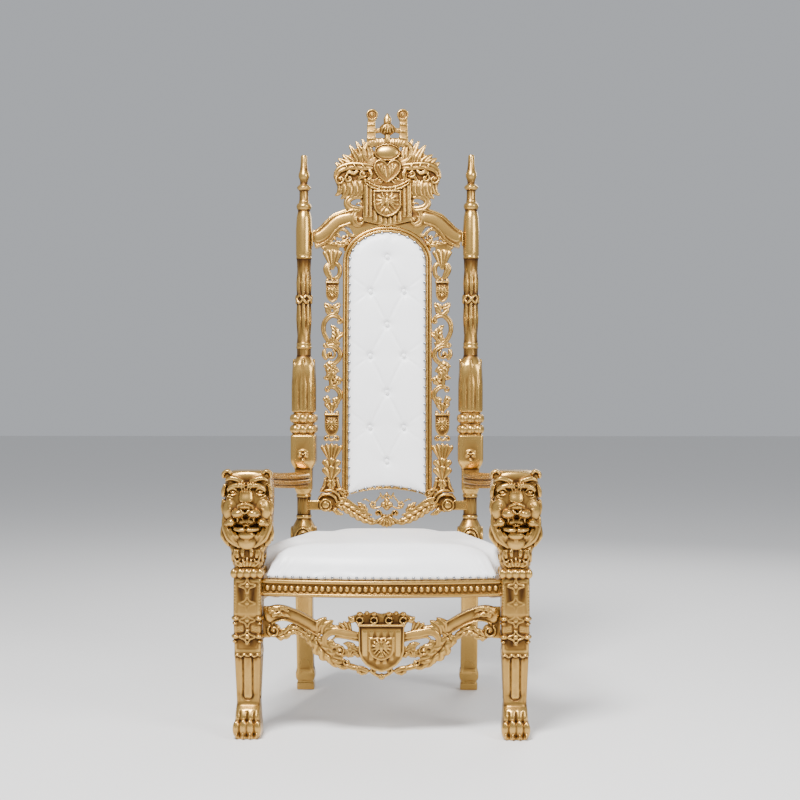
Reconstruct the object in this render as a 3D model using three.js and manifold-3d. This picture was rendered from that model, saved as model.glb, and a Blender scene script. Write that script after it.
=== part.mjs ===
// A tall carved throne: lion-headed front legs, turned back posts, a crest rail with a crowned shield,
// pierced side strips, a buttoned back pad and a sprung seat. Millimetres, +Z up, the front faces -Y.
// The origin lies on the floor, under the middle of the whole outline.

import * as THREE from "three";
import { mergeVertices } from "three/addons/utils/BufferGeometryUtils.js";
import Module from "manifold-3d";

const wasm = await Module();
wasm.setup();

// Driving dimensions

const gap = 0.3; // between touching pieces
const legSpacing = 712; // between the centres of the front legs
const seatTop = 420; // top face of the seat rails above the floor
const railHeight = 46;
const railThickness = 32;
const railBow = 34; // how far the front rail swells forwards
const backPlane = 590; // front face of the back at its pivot, behind the front paws
const lean = THREE.MathUtils.degToRad(4);
const postSetback = 15; // post centre behind the front face of the back
const postFloorHalf = 253; // half the distance between the posts at the floor
const postSplay = 0.006; // sideways run of a post for each unit of height
const rearSweep = 46; // how far the rear feet sweep back
const frameHalfWidth = 139;
const frameBar = 19; // width of the moulded bar round the back pad
const frameSpring = 849; // where the arch of the frame starts
const frameRise = 113;
const frameFoot = 118; // lower corners of the frame
const frameCamber = 25; // rise of the frame's bottom bar at its middle
const frameDepth = 34;
const padCrown = 12; // how far the back pad swells past its edge
const padEase = 0.8; // between the frame and what lies in its opening
const padBack = 22; // rear face of the pad behind the front face of the back
const coverThickness = 7;
const stripCentre = 171; // of each pierced strip, from the middle
const stripDepth = 20;
const stripDrop = 72; // from the top of the frame down to where a strip meets the crest rail
const stripRise = 14; // from the frame's lower corners up to where it stands on the lower rail
const stripCapWidth = 36;
const stripSpan = [132, 890]; // foot and top of the strip as it is drawn
const crestBase = 962; // top of the frame as the crest rail is drawn
const lowerRailTop = 118; // lower corners of the frame as the lower rail is drawn
const crestDepth = 32;
const armWidth = 52;
const armHeight = 46;
const armRise = 22; // from the post to the lion's neck
const armSeat = 632; // underside of the arm at the post
const cushionSide = 14; // upright edge of the seat
const cushionRise = 68; // from that edge to the crown
const cushionRound = 62; // how far in the crown starts
const cushionInset = 4;
const buttonRadius = 6.5;
const buttonDepth = 4; // half its thickness
const dimpleDepth = 7; // of the pad under a button
const shellFoot = 24; // lowest point of the lower rail above the pivot
const shellClear = 1.7; // between it and the crown of the seat

// Where the back starts to lean, and what the frame's size gives to its neighbours

const pivotHeight = seatTop + gap + cushionSide + cushionRise + shellClear - shellFoot;
const frameTop = frameSpring + frameRise;
const stripTop = frameTop - stripDrop;
const stripFoot = frameFoot + stripRise;

// Solids from three.js geometry

/** A closed geometry as a solid, with its doubled vertices merged and its empty faces dropped. */
function solid(geometry) {
  const bare = geometry.clone();
  bare.deleteAttribute("normal");
  bare.deleteAttribute("uv");
  const merged = mergeVertices(bare, 1e-3);
  const faces = [];
  const index = merged.index.array;
  for (let i = 0; i < index.length; i += 3) {
    const [a, b, c] = index.slice(i, i + 3);
    if (a !== b && b !== c && c !== a) faces.push(a, b, c);
  }
  const vertProperties = merged.attributes.position.array;
  return new wasm.Manifold(new wasm.Mesh({ numProp: 3, vertProperties, triVerts: new Uint32Array(faces) }));
}

/** A solid as a three.js geometry. */
function geometryOf(shape) {
  const mesh = shape.getMesh();
  const geometry = new THREE.BufferGeometry();
  geometry.setAttribute("position", new THREE.BufferAttribute(mesh.vertProperties, 3));
  geometry.setIndex(new THREE.BufferAttribute(mesh.triVerts, 1));
  const flat = geometry.toNonIndexed();
  flat.computeVertexNormals();
  return flat;
}

const join = (shapes) => wasm.Manifold.union(shapes);
const mirrored = (shape) => shape.mirror([1, 0, 0]);
const bothSides = (shapes) => [...shapes, ...shapes.map(mirrored)];
const powerOf = (value, power) => (Math.abs(value) < 1e-5 ? 0 : Math.sign(value) * Math.abs(value) ** power);

/** A ball squeezed to three radii. Detail 0 has 8 faces and detail 1 has 32. */
function ball(x, y, z, rx, ry, rz, detail = 1) {
  const geometry = new THREE.OctahedronGeometry(1, detail);
  geometry.scale(rx, ry, rz);
  geometry.translate(x, y, z);
  return solid(geometry);
}

/** A block given by its centre and its sizes. */
function block(x, y, z, sx, sy, sz) {
  return solid(new THREE.BoxGeometry(sx, sy, sz).translate(x, y, z));
}

/** A flat shape drawn in width and height, thickened from `back` towards the front. */
function plate(shape, back, depth, bevel = 0, curveSegments = 2) {
  const options = { depth: depth - 2 * bevel, bevelEnabled: bevel > 0, curveSegments };
  Object.assign(options, { bevelThickness: bevel, bevelSize: bevel, bevelOffset: -bevel, bevelSegments: 1 });
  const geometry = new THREE.ExtrudeGeometry(shape, options);
  geometry.rotateX(Math.PI / 2);
  return solid(geometry.translate(0, back - bevel, 0));
}

/** A disc that faces the front. */
function disc(x, z, back, radius, depth, sides = 10) {
  const geometry = new THREE.CylinderGeometry(radius, radius, depth, sides);
  return solid(geometry.translate(x, back - depth / 2, z));
}

/** An upright body through rings. Each ring has its height, its middle, two half sizes and a squareness. */
function loft(rings, sides = 8) {
  const geometry = new THREE.CylinderGeometry(1, 1, 1, sides, rings.length - 1);
  const place = geometry.attributes.position;
  for (let i = 0; i < place.count; i += 1) {
    const ring = rings[Math.round((place.getY(i) + 0.5) * (rings.length - 1))];
    const onRim = Math.hypot(place.getX(i), place.getZ(i)) > 0.5;
    const angle = Math.atan2(place.getX(i), place.getZ(i));
    const groove = 1 - (ring.groove ?? 0) * (Math.abs(Math.cos(2 * angle)) > 0.9 ? 1 : 0);
    const reach = onRim ? groove : 0;
    const across = powerOf(Math.sin(angle), 2 / ring.square) * ring.halfWidth * reach;
    const along = powerOf(Math.cos(angle), 2 / ring.square) * ring.halfDepth * reach;
    place.setXYZ(i, ring.x + across, ring.y - along, ring.z);
  }
  return solid(geometry);
}

// Carving: ridges that follow curves drawn in width and height on a panel that faces the front

const at = (x, z) => new THREE.Vector3(x, 0, z);

/** A ridge with a crest and a flat back, bent along a curve. Width is a function of the run, from 0 to 1. */
function ridge(curve, y, width, height, steps) {
  const geometry = new THREE.CylinderGeometry(1, 1, 1, 3, steps);
  const place = geometry.attributes.position;
  for (let i = 0; i < place.count; i += 1) {
    const run = place.getY(i) + 0.5;
    const middle = curve.getPoint(run);
    const tangent = curve.getTangent(run);
    const across = (place.getX(i) * width(run)) / Math.sqrt(3);
    const out = place.getZ(i) * height * Math.min(1, 0.35 + width(run) / width(0.5));
    place.setXYZ(i, middle.x + tangent.z * across, y - out, middle.z - tangent.x * across);
  }
  return solid(geometry);
}

const taper = (first, last) => (run) => first + (last - first) * run;

/** A pointed leaf from a root to a tip, with a crest, broadest before its middle and bowed sideways. */
function leaf(x0, z0, x1, z1, width, bow = 0, y = 0, height = 9) {
  const geometry = new THREE.OctahedronGeometry(1);
  const place = geometry.attributes.position;
  const run = at(x1 - x0, z1 - z0);
  const side = at(run.z, -run.x).normalize();
  for (let i = 0; i < place.count; i += 1) {
    const along = place.getY(i);
    const share = Math.abs(along) < 0.5 ? 0.44 : (along + 1) / 2;
    const across = (place.getX(i) * width) / 2 - (Math.abs(along) < 0.5 ? bow * run.length() : 0);
    const out = place.getZ(i) * height * (place.getZ(i) > 0 ? 1 : 0.55);
    place.setXYZ(i, x0 + run.x * share + side.x * across, y - out, z0 + run.z * share + side.z * across);
  }
  return solid(geometry);
}

/** Pointed lobes that spread from one root between two angles, in degrees from the right, as one body. */
function spray({ x, z, outer, outerTo = outer, from, to, count, y = 0, height = 9, valley = 0.7, thick = 5 }) {
  const polar = (angle, reach) => {
    const rad = THREE.MathUtils.degToRad(angle);
    return at(x + Math.cos(rad) * reach, z + Math.sin(rad) * reach);
  };
  const mix = THREE.MathUtils.lerp;
  const rim = [at(x, z)];
  for (let i = 0; i < 2 * count - 1; i += 1) {
    const share = i / (2 * count - 2);
    rim.push(polar(mix(from, to, share), mix(outer, outerTo, share) * (i % 2 ? valley : 1)));
  }
  const crest = polar((from + to) / 2, (outer + outerTo) * 0.2);
  const geometry = new THREE.ConeGeometry(1, 1, rim.length);
  const place = geometry.attributes.position;
  for (let i = 0; i < place.count; i += 1) {
    const turn = Math.atan2(place.getX(i), place.getZ(i)) / (2 * Math.PI);
    const onRim = Math.hypot(place.getX(i), place.getZ(i)) > 0.5;
    const spot = onRim ? rim[Math.round((turn + 1) * rim.length) % rim.length] : crest;
    place.setXYZ(i, spot.x, place.getY(i) > 0 ? y - height : y + thick, spot.z);
  }
  return solid(geometry);
}

/** A branch through given points, each [x, z]. */
function branch(points, first, last, y = 0, height = 10, steps = 6) {
  const curve = new THREE.CatmullRomCurve3(points.map(([x, z]) => at(x, z)));
  return ridge(curve, y, taper(first, last), height, steps);
}

/** A scroll that winds inwards from its start angle, ending in a button. */
function scroll({ x, z, radius, start, turn, width, y = 0, height = 9, button = 0.42 }) {
  const curve = new THREE.Curve();
  curve.getPoint = (run) => {
    const angle = THREE.MathUtils.degToRad(start + turn * run);
    const reach = radius * (1 - 0.6 * run);
    return at(x + Math.cos(angle) * reach, z + Math.sin(angle) * reach);
  };
  const steps = Math.max(3, Math.round(Math.abs(turn) / 80));
  const eye = radius * button;
  const bar = ridge(curve, y, taper(width, width * 0.6), height, steps);
  return button ? [bar, ball(x, y, z, eye, height, eye, 0)] : [bar];
}

/** A shield with a straight top and a pointed foot, drawn down from its top edge. */
function shieldShape(x, top, width, height) {
  const half = width / 2;
  const shape = new THREE.Shape();
  shape.moveTo(x, top - height);
  shape.quadraticCurveTo(x + half, top - height * 0.82, x + half, top - height * 0.55);
  shape.lineTo(x + half, top);
  shape.lineTo(x - half, top);
  shape.lineTo(x - half, top - height * 0.55);
  shape.quadraticCurveTo(x - half, top - height * 0.82, x, top - height);
  return shape;
}

/** A small bird with spread wings, as heraldry draws one. */
function bird(x, z, size, y, height) {
  const wing = { x, z, outer: size / 2, y, height, count: 3, valley: 0.75 };
  return [
    spray({ ...wing, from: -35, to: 65 }),
    spray({ ...wing, from: 115, to: 215 }),
    leaf(x, z - size * 0.5, x, z + size * 0.4, size * 0.26, 0, y, height * 1.5),
  ];
}

// Back posts, from the floor to the finial

const postX = (z) => postFloorHalf + postSplay * z;
const postRise = (z) => Math.max(0, z - pivotHeight) * Math.tan(lean);
const postSweep = (z) => rearSweep * Math.max(0, 1 - z / pivotHeight) ** 2;
const postY = (z) => backPlane + postSetback + postRise(z) + postSweep(z);

// height, half size, squareness, groove
const postRows = [
  [0, 27, 9],
  [22, 27, 9],
  [30, 28, 8],
  [58, 29, 7],
  [68, 26, 9],
  [360, 27, 9],
  [440, 27, 9],
  [478, 37, 4],
  [502, 36, 3],
  [536, 22, 2],
  [602, 21, 2],
  [622, 27, 8],
  [684, 27, 8],
  [716, 39, 10],
  [789, 39, 10],
  [792, 35, 7],
  [806, 40, 5],
  [824, 34, 5],
  [840, 39, 5],
  [856, 34, 4, 0.08],
  [1004, 37, 3.4, 0.1],
  [1062, 22.5, 2],
  [1135, 24, 2.6, 0.12],
  [1168, 21, 2],
  [1190, 26, 2.6],
  [1210, 21, 2],
  [1255, 25, 2.6, 0.12],
  [1351, 25.5, 2],
  [1427, 25.5, 2],
  [1490, 19, 2],
  [1503, 24, 2],
  [1516, 15, 2],
  [1553, 14.5, 2],
  [1563, 23, 2],
  [1576, 12.5, 2],
  [1600, 18, 2],
  [1666, 9.8, 2],
];

/** The right-hand post, grown by a clearance where it is used to cut its neighbours. */
function postSolid(clearance = 0) {
  const rings = postRows.map(([z, half, square, groove]) => {
    const size = half + clearance;
    return { z, x: postX(z), y: postY(z), halfWidth: size, halfDepth: size, square, groove };
  });
  return loft(rings);
}

/** Half size of the post at a height, read between its rings. */
function postHalf(z) {
  const next = postRows.findIndex(([height]) => height > z);
  const [[lowZ, low], [highZ, high]] = [postRows[next - 1], postRows[next]];
  return low + ((high - low) * (z - lowZ)) / (highZ - lowZ);
}

const rosetteHeight = 712;
const rosetteSize = 9;
const rosetteY = postY(rosetteHeight) - postHalf(rosetteHeight);
const rightPost = join([
  postSolid(),
  ball(postX(rosetteHeight), rosetteY, rosetteHeight, rosetteSize, 5, rosetteSize, 0),
]);
const postCutter = postSolid(gap);

// Front legs, each with a lion's head, a panel of quatrefoils, a fluted shin and a paw

// height, half width, front, back, squareness
const legRows = [
  [0, 33, 1, 98, 5],
  [18, 37, -1, 99, 4],
  [46, 35, 6, 98, 4],
  [80, 33, 26, 94, 4],
  [112, 32, 33, 89, 6],
  [222, 36, 24, 93, 9],
  [330, 38, 9, 96, 9],
  [422, 38, 13, 96, 9],
  [427, 41, 8, 96, 5],
  [447, 41, 8, 96, 5],
  [452, 36, 15, 96, 7],
  [476, 38, 13, 98, 6],
  [508, 52, 10, 108, 5],
  [548, 64, 6, 120, 5],
  [640, 67, 8, 132, 5],
  [690, 64, 14, 130, 5],
  [708, 50, 34, 116, 4],
];
const neckBack = 132; // where the lion's neck ends and the arm starts
const flowerCount = 4; // quatrefoils down the panel
const flowerPitch = 46;
const flowerTop = 431;
const flowerWidth = 40;
const fluteTop = 212;
const fluteFoot = 92;
const toeTop = 50;

/** A chain of quatrefoils down the leg's panel, each drawn as a lozenge. */
function flowerChain() {
  const rows = Array.from({ length: 2 * flowerCount + 1 }, (_, i) => [
    i % 2 ? flowerWidth / 2 : flowerWidth / 8,
    flowerTop - (i * flowerPitch) / 2,
  ]);
  const shape = new THREE.Shape();
  shape.moveTo(rows[0][0], rows[0][1]);
  for (const [x, z] of rows.slice(1)) shape.lineTo(x, z);
  for (const [x, z] of rows.reverse()) shape.lineTo(-x, z);
  return plate(shape, 24, 20);
}

/** Three upright channels side by side, each with a square section set cornerwise. */
function channels(top, foot, spacing, radius, y, slope) {
  return [-1, 0, 1].map((place) => {
    const bar = new THREE.CylinderGeometry(radius, radius, top - foot, 4);
    bar.rotateX(Math.PI / 2 + slope);
    return solid(bar.translate(place * spacing, y, (top + foot) / 2));
  });
}

/** Cheeks, muzzle, brow, ears, jaw and mane of the lion, on the front of the leg. */
function lionFace() {
  const sides = [
    ball(52, 26, 699, 15, 14, 13, 0),
    ball(48, 10, 578, 20, 18, 19, 0),
    leaf(4, 662, 60, 692, 28, 0.14, 8, 16),
    leaf(50, 654, 50, 596, 32, 0.06, 12, 15),
    leaf(52, 572, 10, 500, 30, -0.12, 12, 16),
  ];
  return [
    ...bothSides(sides),
    ball(0, -10, 602, 39, 34, 21),
    leaf(0, 588, 0, 676, 40, 0, 0, 42),
    ball(0, -2, 558, 32, 24, 13, 0),
    spray({ x: 0, z: 510, outer: 58, from: -128, to: -52, count: 3, y: 14, height: 9, thick: 8 }),
  ];
}

/** One front leg about x = 0, with the paw's toes at y = 0. */
function frontLeg() {
  const rings = legRows.map(([z, halfWidth, front, back, square]) => {
    const [y, halfDepth] = [(front + back) / 2, (back - front) / 2];
    return { z, x: 0, y, halfWidth, halfDepth, square };
  });
  const bosses = [270, 318].map((z) => ball(33, 18, z, 9, 9, 7, 0));
  const flutes = channels(fluteTop, fluteFoot, 17, 8, 25, 0.08);
  const toes = channels(toeTop, -1, 17.5, 7, 1, -0.12);
  const carved = join([loft(rings), ...lionFace(), flowerChain(), ...bothSides(bosses)]);
  return carved.subtract(join([...flutes, ...toes]));
}

const legSolid = frontLeg();

// Seat rails, on the inner faces of the legs and posts

const legInner = legSpacing / 2 - 38;
const railBottom = seatTop - railHeight;
const frontRailY = 46; // middle of the front rail where it meets the legs
const sideRailStart = 96 + gap;

const railSwell = (x) => railBow * (1 - (x / legInner) ** 2);

/** The front rail: a fillet above and below, and a half-round bar that stands for the row of beads. */
function frontRail() {
  const half = railThickness / 2;
  const edge = [[0, -2], [6, 2], [12, 0], [14, -4], [18, 0]];
  const section = new THREE.Shape();
  section.moveTo(railBottom, -half);
  for (const [rise, out] of edge) section.lineTo(railBottom + rise, half + out);
  for (const [drop, out] of edge.reverse()) section.lineTo(seatTop - drop, half + out);
  section.lineTo(seatTop, -half);
  const long = 2 * (legInner - gap);
  const geometry = new THREE.ExtrudeGeometry(section, { depth: long, steps: 8, bevelEnabled: false });
  const place = geometry.attributes.position;
  for (let i = 0; i < place.count; i += 1) {
    const x = place.getZ(i) - long / 2;
    place.setXYZ(i, x, frontRailY - place.getY(i) - railSwell(x), place.getX(i));
  }
  return solid(geometry);
}

/** The right-hand side rail, from the back of the front leg to the front of the post. */
function sideRail() {
  const start = new THREE.Vector3(legSpacing / 2, sideRailStart, 0);
  const z = (seatTop + railBottom) / 2;
  const end = new THREE.Vector3(postX(z), postY(z), 0);
  const plan = new THREE.Shape();
  const half = railThickness / 2;
  plan.moveTo(start.x - half, start.y);
  plan.lineTo(start.x + half, start.y);
  plan.lineTo(end.x + half, end.y);
  plan.lineTo(end.x - half, end.y);
  const bar = new THREE.ExtrudeGeometry(plan, { depth: railHeight, bevelEnabled: false });
  return solid(bar.translate(0, 0, railBottom)).subtract(postCutter);
}

const rearBar = block(0, postY(seatTop), seatTop - railHeight / 2, 2 * postX(seatTop), 28, railHeight);
const rearRail = rearBar.subtract(join(bothSides([postCutter])));

// Aprons under the rails

const apronY = 44;
const apronDepth = 22;
const apronReach = legInner - gap;
const shieldTop = 294;

/** The pierced front apron, with a crowned shield between two scrolled boughs. */
function frontApron() {
  const bough = [
    branch([[apronReach - 4, 314], [238, 320], [198, 300], [152, 272]], 50, 34, 0, 11, 4),
    block(apronReach - 9, 0, 303, 18, apronDepth, 84),
    disc(285, 277, 12, 20, 24, 8),
    spray({ x: 172, z: 262, outer: 62, outerTo: 40, from: 12, to: 110, count: 3, valley: 0.8 }),
    spray({ x: 150, z: 262, outer: 62, outerTo: 88, from: 140, to: 166, count: 3, y: 2, valley: 0.8 }),
    branch([[164, 268], [128, 260], [98, 252], [50, 268]], 22, 22, 2, 10, 3),
    branch([[264, 260], [236, 279], [194, 246], [150, 212], [102, 192], [60, 182]], 26, 42, 0, 9, 4),
    leaf(204, 236, 174, 292, 30, 0.1, 2),
    spray({ x: 156, z: 214, outer: 52, from: -10, to: 74, count: 3, y: 2, valley: 0.8 }),
    ...scroll({ x: 108, z: 230, radius: 24, start: 120, turn: 240, width: 18, button: 0 }),
    branch([[84, 180], [58, 174], [38, 168], [-4, 158]], 20, 16, 0, 8, 3),
    leaf(100, 200, 54, 222, 30, 0.1, 2),
  ];
  const crown = new THREE.Shape();
  crown.moveTo(-60, shieldTop);
  crown.lineTo(60, shieldTop);
  crown.lineTo(88, shieldTop + 24);
  const points = [[64, 31], [52, 24], [38, 37], [19, 28], [0, 37]];
  for (const [x, rise] of points) crown.lineTo(x, shieldTop + rise);
  for (const [x, rise] of points.slice(0, -1).reverse()) crown.lineTo(-x, shieldTop + rise);
  crown.lineTo(-88, shieldTop + 24);
  const carved = join([
    ...bothSides(bough),
    plate(crown, 8, 20),
    plate(shieldShape(0, shieldTop + 2, 118, 124), 9, 20),
    plate(shieldShape(0, 262, 62, 56), 0, 15),
    ...bird(0, 240, 50, -14, 4),
    ball(0, 0, 156, 10, 8, 7, 0),
  ]);
  return carved.translate([0, apronY, 0]);
}

/** The right-hand side apron: a plain bracket with a curved lower edge. */
function sideApron() {
  const [start, end] = [sideRailStart, postY(railBottom)];
  const top = railBottom - gap;
  const shape = new THREE.Shape();
  shape.moveTo(start, top);
  shape.lineTo(end, top);
  shape.lineTo(end, top - 78);
  shape.bezierCurveTo(end - 60, top - 70, end - 60, top - 22, end - 130, top - 28);
  shape.quadraticCurveTo((start + end) / 2, top - 54, start + 130, top - 28);
  shape.bezierCurveTo(start + 60, top - 22, start + 60, top - 70, start, top - 78);
  const geometry = new THREE.ExtrudeGeometry(shape, { depth: 16, bevelEnabled: false, curveSegments: 6 });
  geometry.rotateX(Math.PI / 2).rotateZ(Math.PI / 2);
  const [x0, x1] = [legSpacing / 2, postX(railBottom)];
  const place = geometry.attributes.position;
  for (let i = 0; i < place.count; i += 1) {
    const share = (place.getY(i) - start) / (end - start);
    place.setX(i, place.getX(i) - 8 + x0 + (x1 - x0) * share);
  }
  return solid(geometry).subtract(postCutter);
}

// Arms, from the back of each lion's neck to the posts

/** The right-hand arm: a moulded bar that rises towards the lion. */
function arm() {
  const rearZ = armSeat + armHeight / 2;
  const curve = new THREE.CubicBezierCurve3(
    new THREE.Vector3(legSpacing / 2, neckBack + gap, rearZ + armRise),
    new THREE.Vector3(legSpacing / 2 + 6, 300, rearZ + armRise),
    new THREE.Vector3(320, 430, rearZ - 4),
    new THREE.Vector3(postX(rearZ), postY(rearZ), rearZ),
  );
  const [w, h] = [armWidth / 2, armHeight / 2];
  const upper = [[0, h], [w * 0.6, h * 0.9], [w, h * 0.45]];
  const half = [...upper, [w * 0.86, h * 0.1], [w, -h * 0.25], [w * 0.8, -h]];
  const steps = 5;
  const outline = [...half, ...half.slice(1).reverse().map(([x, z]) => [-x, z])];
  const geometry = new THREE.CylinderGeometry(1, 1, 1, outline.length, steps);
  const place = geometry.attributes.position;
  for (let i = 0; i < place.count; i += 1) {
    const run = place.getY(i) + 0.5;
    const [middle, tangent] = [curve.getPoint(run), curve.getTangent(run)];
    const level = Math.hypot(tangent.x, tangent.y);
    const onRim = Math.hypot(place.getX(i), place.getZ(i)) > 0.5;
    const turn = Math.atan2(place.getX(i), place.getZ(i)) / (2 * Math.PI);
    const corner = outline[Math.round(turn * outline.length + outline.length) % outline.length];
    const [side, up] = onRim ? corner : [0, 0];
    const x = middle.x + (side * tangent.y) / level;
    place.setXYZ(i, x, middle.y - (side * tangent.x) / level, middle.z + up);
  }
  return solid(geometry).subtract(postCutter);
}

// The back, drawn in its own plane: x across, z up along the lean, y = 0 at its front face

const back = new THREE.Group();
back.rotation.x = -lean;
back.position.set(0, backPlane, pivotHeight);
back.updateMatrix();
const intoBack = back.matrix.clone().invert();
const tenonReach = postX(pivotHeight) - 216 - 6; // the rail's square ends, cut to the posts
const endHeight = 1400; // of the crest rail's ends
const cutterInBack = postCutter.transform(intoBack.elements);
const postsInBack = bothSides([cutterInBack]);

const archSteps = 5; // straight runs in a quarter of the arch

/** The arched outline of the frame, drawn in by an inset. */
function archShape(inset, path = new THREE.Shape()) {
  const half = frameHalfWidth - inset;
  const rise = frameRise - inset;
  const foot = frameFoot + inset * 0.45;
  path.moveTo(-half, foot);
  path.quadraticCurveTo(0, foot + 2 * frameCamber, half, foot);
  path.lineTo(half, frameSpring);
  path.absellipse(0, frameSpring, half, rise, 0, Math.PI, false, 0);
  path.lineTo(-half, foot);
  return path;
}

/** The moulded frame, with its opening cut right through. */
function backFrame() {
  const bar = plate(archShape(0), frameDepth - 4, frameDepth, 5, archSteps);
  const opening = plate(archShape(frameBar), frameDepth + 20, frameDepth + 60, 0, archSteps);
  return bar.subtract(opening);
}

const padFront = 2 - padCrown;
const buttonRows = [
  [0, 864],
  [52, 756],
  [0, 653],
  [52, 555],
  [0, 442],
  [52, 333],
  [0, 229],
];
const buttonPlaces = buttonRows.flatMap(([x, z]) => (x ? [[-x, z], [x, z]] : [[x, z]]));

/** The padded front, swelling between its edges, with a dimple for each button. */
function backPad() {
  const depth = padBack - 2;
  const options = { depth, curveSegments: archSteps, bevelEnabled: true };
  Object.assign(options, { bevelThickness: padCrown, bevelSize: 16, bevelOffset: -16, bevelSegments: 2 });
  const geometry = new THREE.ExtrudeGeometry(archShape(frameBar + padEase), options);
  geometry.rotateX(Math.PI / 2).translate(0, padBack, 0);
  const whole = solid(geometry);
  const behind = block(0, padBack + 50, 500, 400, 100, 1200);
  const dimples = buttonPlaces.map(([x, z]) => ball(x, padFront, z, 17, dimpleDepth, 17, 0));
  return whole.subtract(join([behind, ...dimples]));
}

/** The upholstered rear cover, let into the frame behind the pad. */
function backCover() {
  const shape = archShape(frameBar + padEase);
  return plate(shape, padBack + gap + coverThickness, coverThickness, 0, archSteps);
}

/** A carving stretched upright, so that its foot comes to one height and a level of its drawing to another. */
function stretched(shape, newFoot, level, newLevel) {
  const foot = shape.boundingBox().min[2];
  const stretch = (newLevel - newFoot) / (level - foot);
  return shape.translate([0, 0, -foot]).scale([1, 1, stretch]).translate([0, 0, newFoot]);
}

/** The crest rail: two swan-neck shoulders that carry a crowned shield in plumes. */
function crestRail() {
  const shoulder = new THREE.Shape();
  const vector = ([x, z]) => new THREE.Vector2(x, z);
  const [end, endFoot, endTop] = [postX(endHeight) + 4, 892, 947];
  shoulder.moveTo(0, 950);
  shoulder.lineTo(96, 926);
  shoulder.splineThru([[122, 962], [162, 939], [206, 900], [230, endFoot]].map(vector));
  shoulder.lineTo(end, endFoot);
  shoulder.lineTo(end, endTop);
  shoulder.lineTo(232, endTop);
  shoulder.splineThru([[206, 966], [176, 996], [134, 1014], [98, 1026]].map(vector));
  shoulder.lineTo(0, 1030);
  const half = [
    plate(shoulder, 26, crestDepth),
    spray({ x: 60, z: 1156, outer: 99, outerTo: 86, from: 0, to: 74, count: 4, y: 4, height: 8, valley: 0.8 }),
    spray({ x: 66, z: 1156, outer: 108, outerTo: 132, from: -90, to: -47, count: 3, y: 2, height: 12, valley: 0.86 }),
    spray({ x: 68, z: 1160, outer: 132, outerTo: 102, from: -49, to: -16, count: 3, y: 4, height: 14, valley: 0.92 }),
    branch([[28, 1138], [82, 1152], [128, 1150], [158, 1119]], 26, 32, -4, 13, 3),
    leaf(66, 1152, 64, 1081, 40, 0.1, -4, 12),
    branch([[78, 1052], [114, 1050], [122, 1024], [84, 1010]], 18, 20, 2, 10, 3),
    leaf(68, 1032, 78, 974, 34, 0.1, -4, 12),
    leaf(4, 1099, 25, 1166, 45, -0.16, -10, 10),
    branch([[60, 1224], [69, 1199], [56, 1168]], 18, 20, 4, 10, 2),
    ridge(new THREE.LineCurve3(at(68, 1224), at(-3, 1236)), 3, taper(20, 24), 10, 1),
    ridge(new THREE.LineCurve3(at(-3, 1276), at(49, 1258)), 4, taper(20, 17), 9, 1),
    ridge(new THREE.LineCurve3(at(52, 1218), at(50, 1300)), 4, taper(27, 23), 11, 1),
    disc(48, 1314, 10, 17, 18, 8),
    branch([[130, 958], [154, 932], [188, 912]], 20, 26, 8, 11, 2),
    leaf(198, 928, 142, 906, 30, 0.1, 6),
    block(stripCentre, 6, crestBase - stripDrop + gap + 12, stripCapWidth, 12, 24),
  ];
  const mantle = new THREE.Shape();
  mantle.moveTo(0, 961);
  for (const [x, z] of [[71, 978], [73, 1108], [-73, 1108], [-71, 978]]) mantle.lineTo(x, z);
  const helm = new THREE.Shape();
  helm.moveTo(-60, 1096);
  for (const [x, z] of [[60, 1096], [58, 1168], [36, 1180], [36, 1222]]) helm.lineTo(x, z);
  for (const [x, z] of [[-36, 1222], [-36, 1180], [-58, 1168]]) helm.lineTo(x, z);
  const carved = join([
    ...bothSides(half),
    plate(helm, 18, 26),
    plate(mantle, 20, 31),
    plate(shieldShape(0, 1072, 84, 82), 0, 17),
    ...bird(0, 1032, 62, -16, 4),
    branch([[-70, 1098], [-34, 1084], [0, 1079], [34, 1084], [70, 1098]], 20, 20, -8, 10, 4),
    ball(0, -4, 1194, 37, 14, 23),
    ball(0, 2, 1268, 22, 14, 19, 0),
    leaf(0, 1270, 0, 1320, 24, 0, 4, 9),
  ]);
  const cutters = join([...postsInBack, frameCutter]);
  return carved.translate([0, 0, frameTop - crestBase]).subtract(cutters);
}

/** The lower rail: swags of leaves from two round bosses down to a shell. */
function lowerRail() {
  const half = [
    disc(190, 93, 16, 23, 26, 8),
    block(216, 4, 93, 2 * tenonReach, 20, 32),
    branch([[188, 106], [150, 106], [104, 82], [66, 50], [32, 38], [-4, 44]], 34, 30, 2, 12, 4),
    ...scroll({ x: 152, z: 110, radius: 14, start: 180, turn: -240, width: 13, y: -2 }),
    spray({ x: 172, z: 96, outer: 48, from: 186, to: 226, count: 3, y: 4, height: 7, valley: 0.8 }),
    spray({ x: 132, z: 84, outer: 40, from: 200, to: 256, count: 3, y: 2, valley: 0.8 }),
    spray({ x: 94, z: 60, outer: 36, from: 200, to: 256, count: 3, y: 2, valley: 0.8 }),
    branch([[100, 76], [76, 100], [48, 90], [24, 58]], 16, 18, 0, 8, 3),
    branch([[40, 134], [20, 112], [-3, 98]], 13, 11, 1, 7, 2),
    leaf(60, 92, 2, 96, 20, 0, 2, 7),
  ];
  const carved = join([
    ...bothSides(half),
    spray({ x: 0, z: 60, outer: 35, from: -160, to: -20, count: 5, y: -2, height: 9, valley: 0.9 }),
    leaf(0, 68, 0, 130, 22, 0, 2, 8),
  ]);
  const seats = bothSides([block(stripCentre, 6, (stripFoot - gap + 99) / 2, 60, 14, stripFoot - gap - 99)]);
  const whole = join([stretched(carved, shellFoot, lowerRailTop, frameFoot), ...seats]);
  return whole.subtract(join([...postsInBack, frameCutter]));
}

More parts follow.
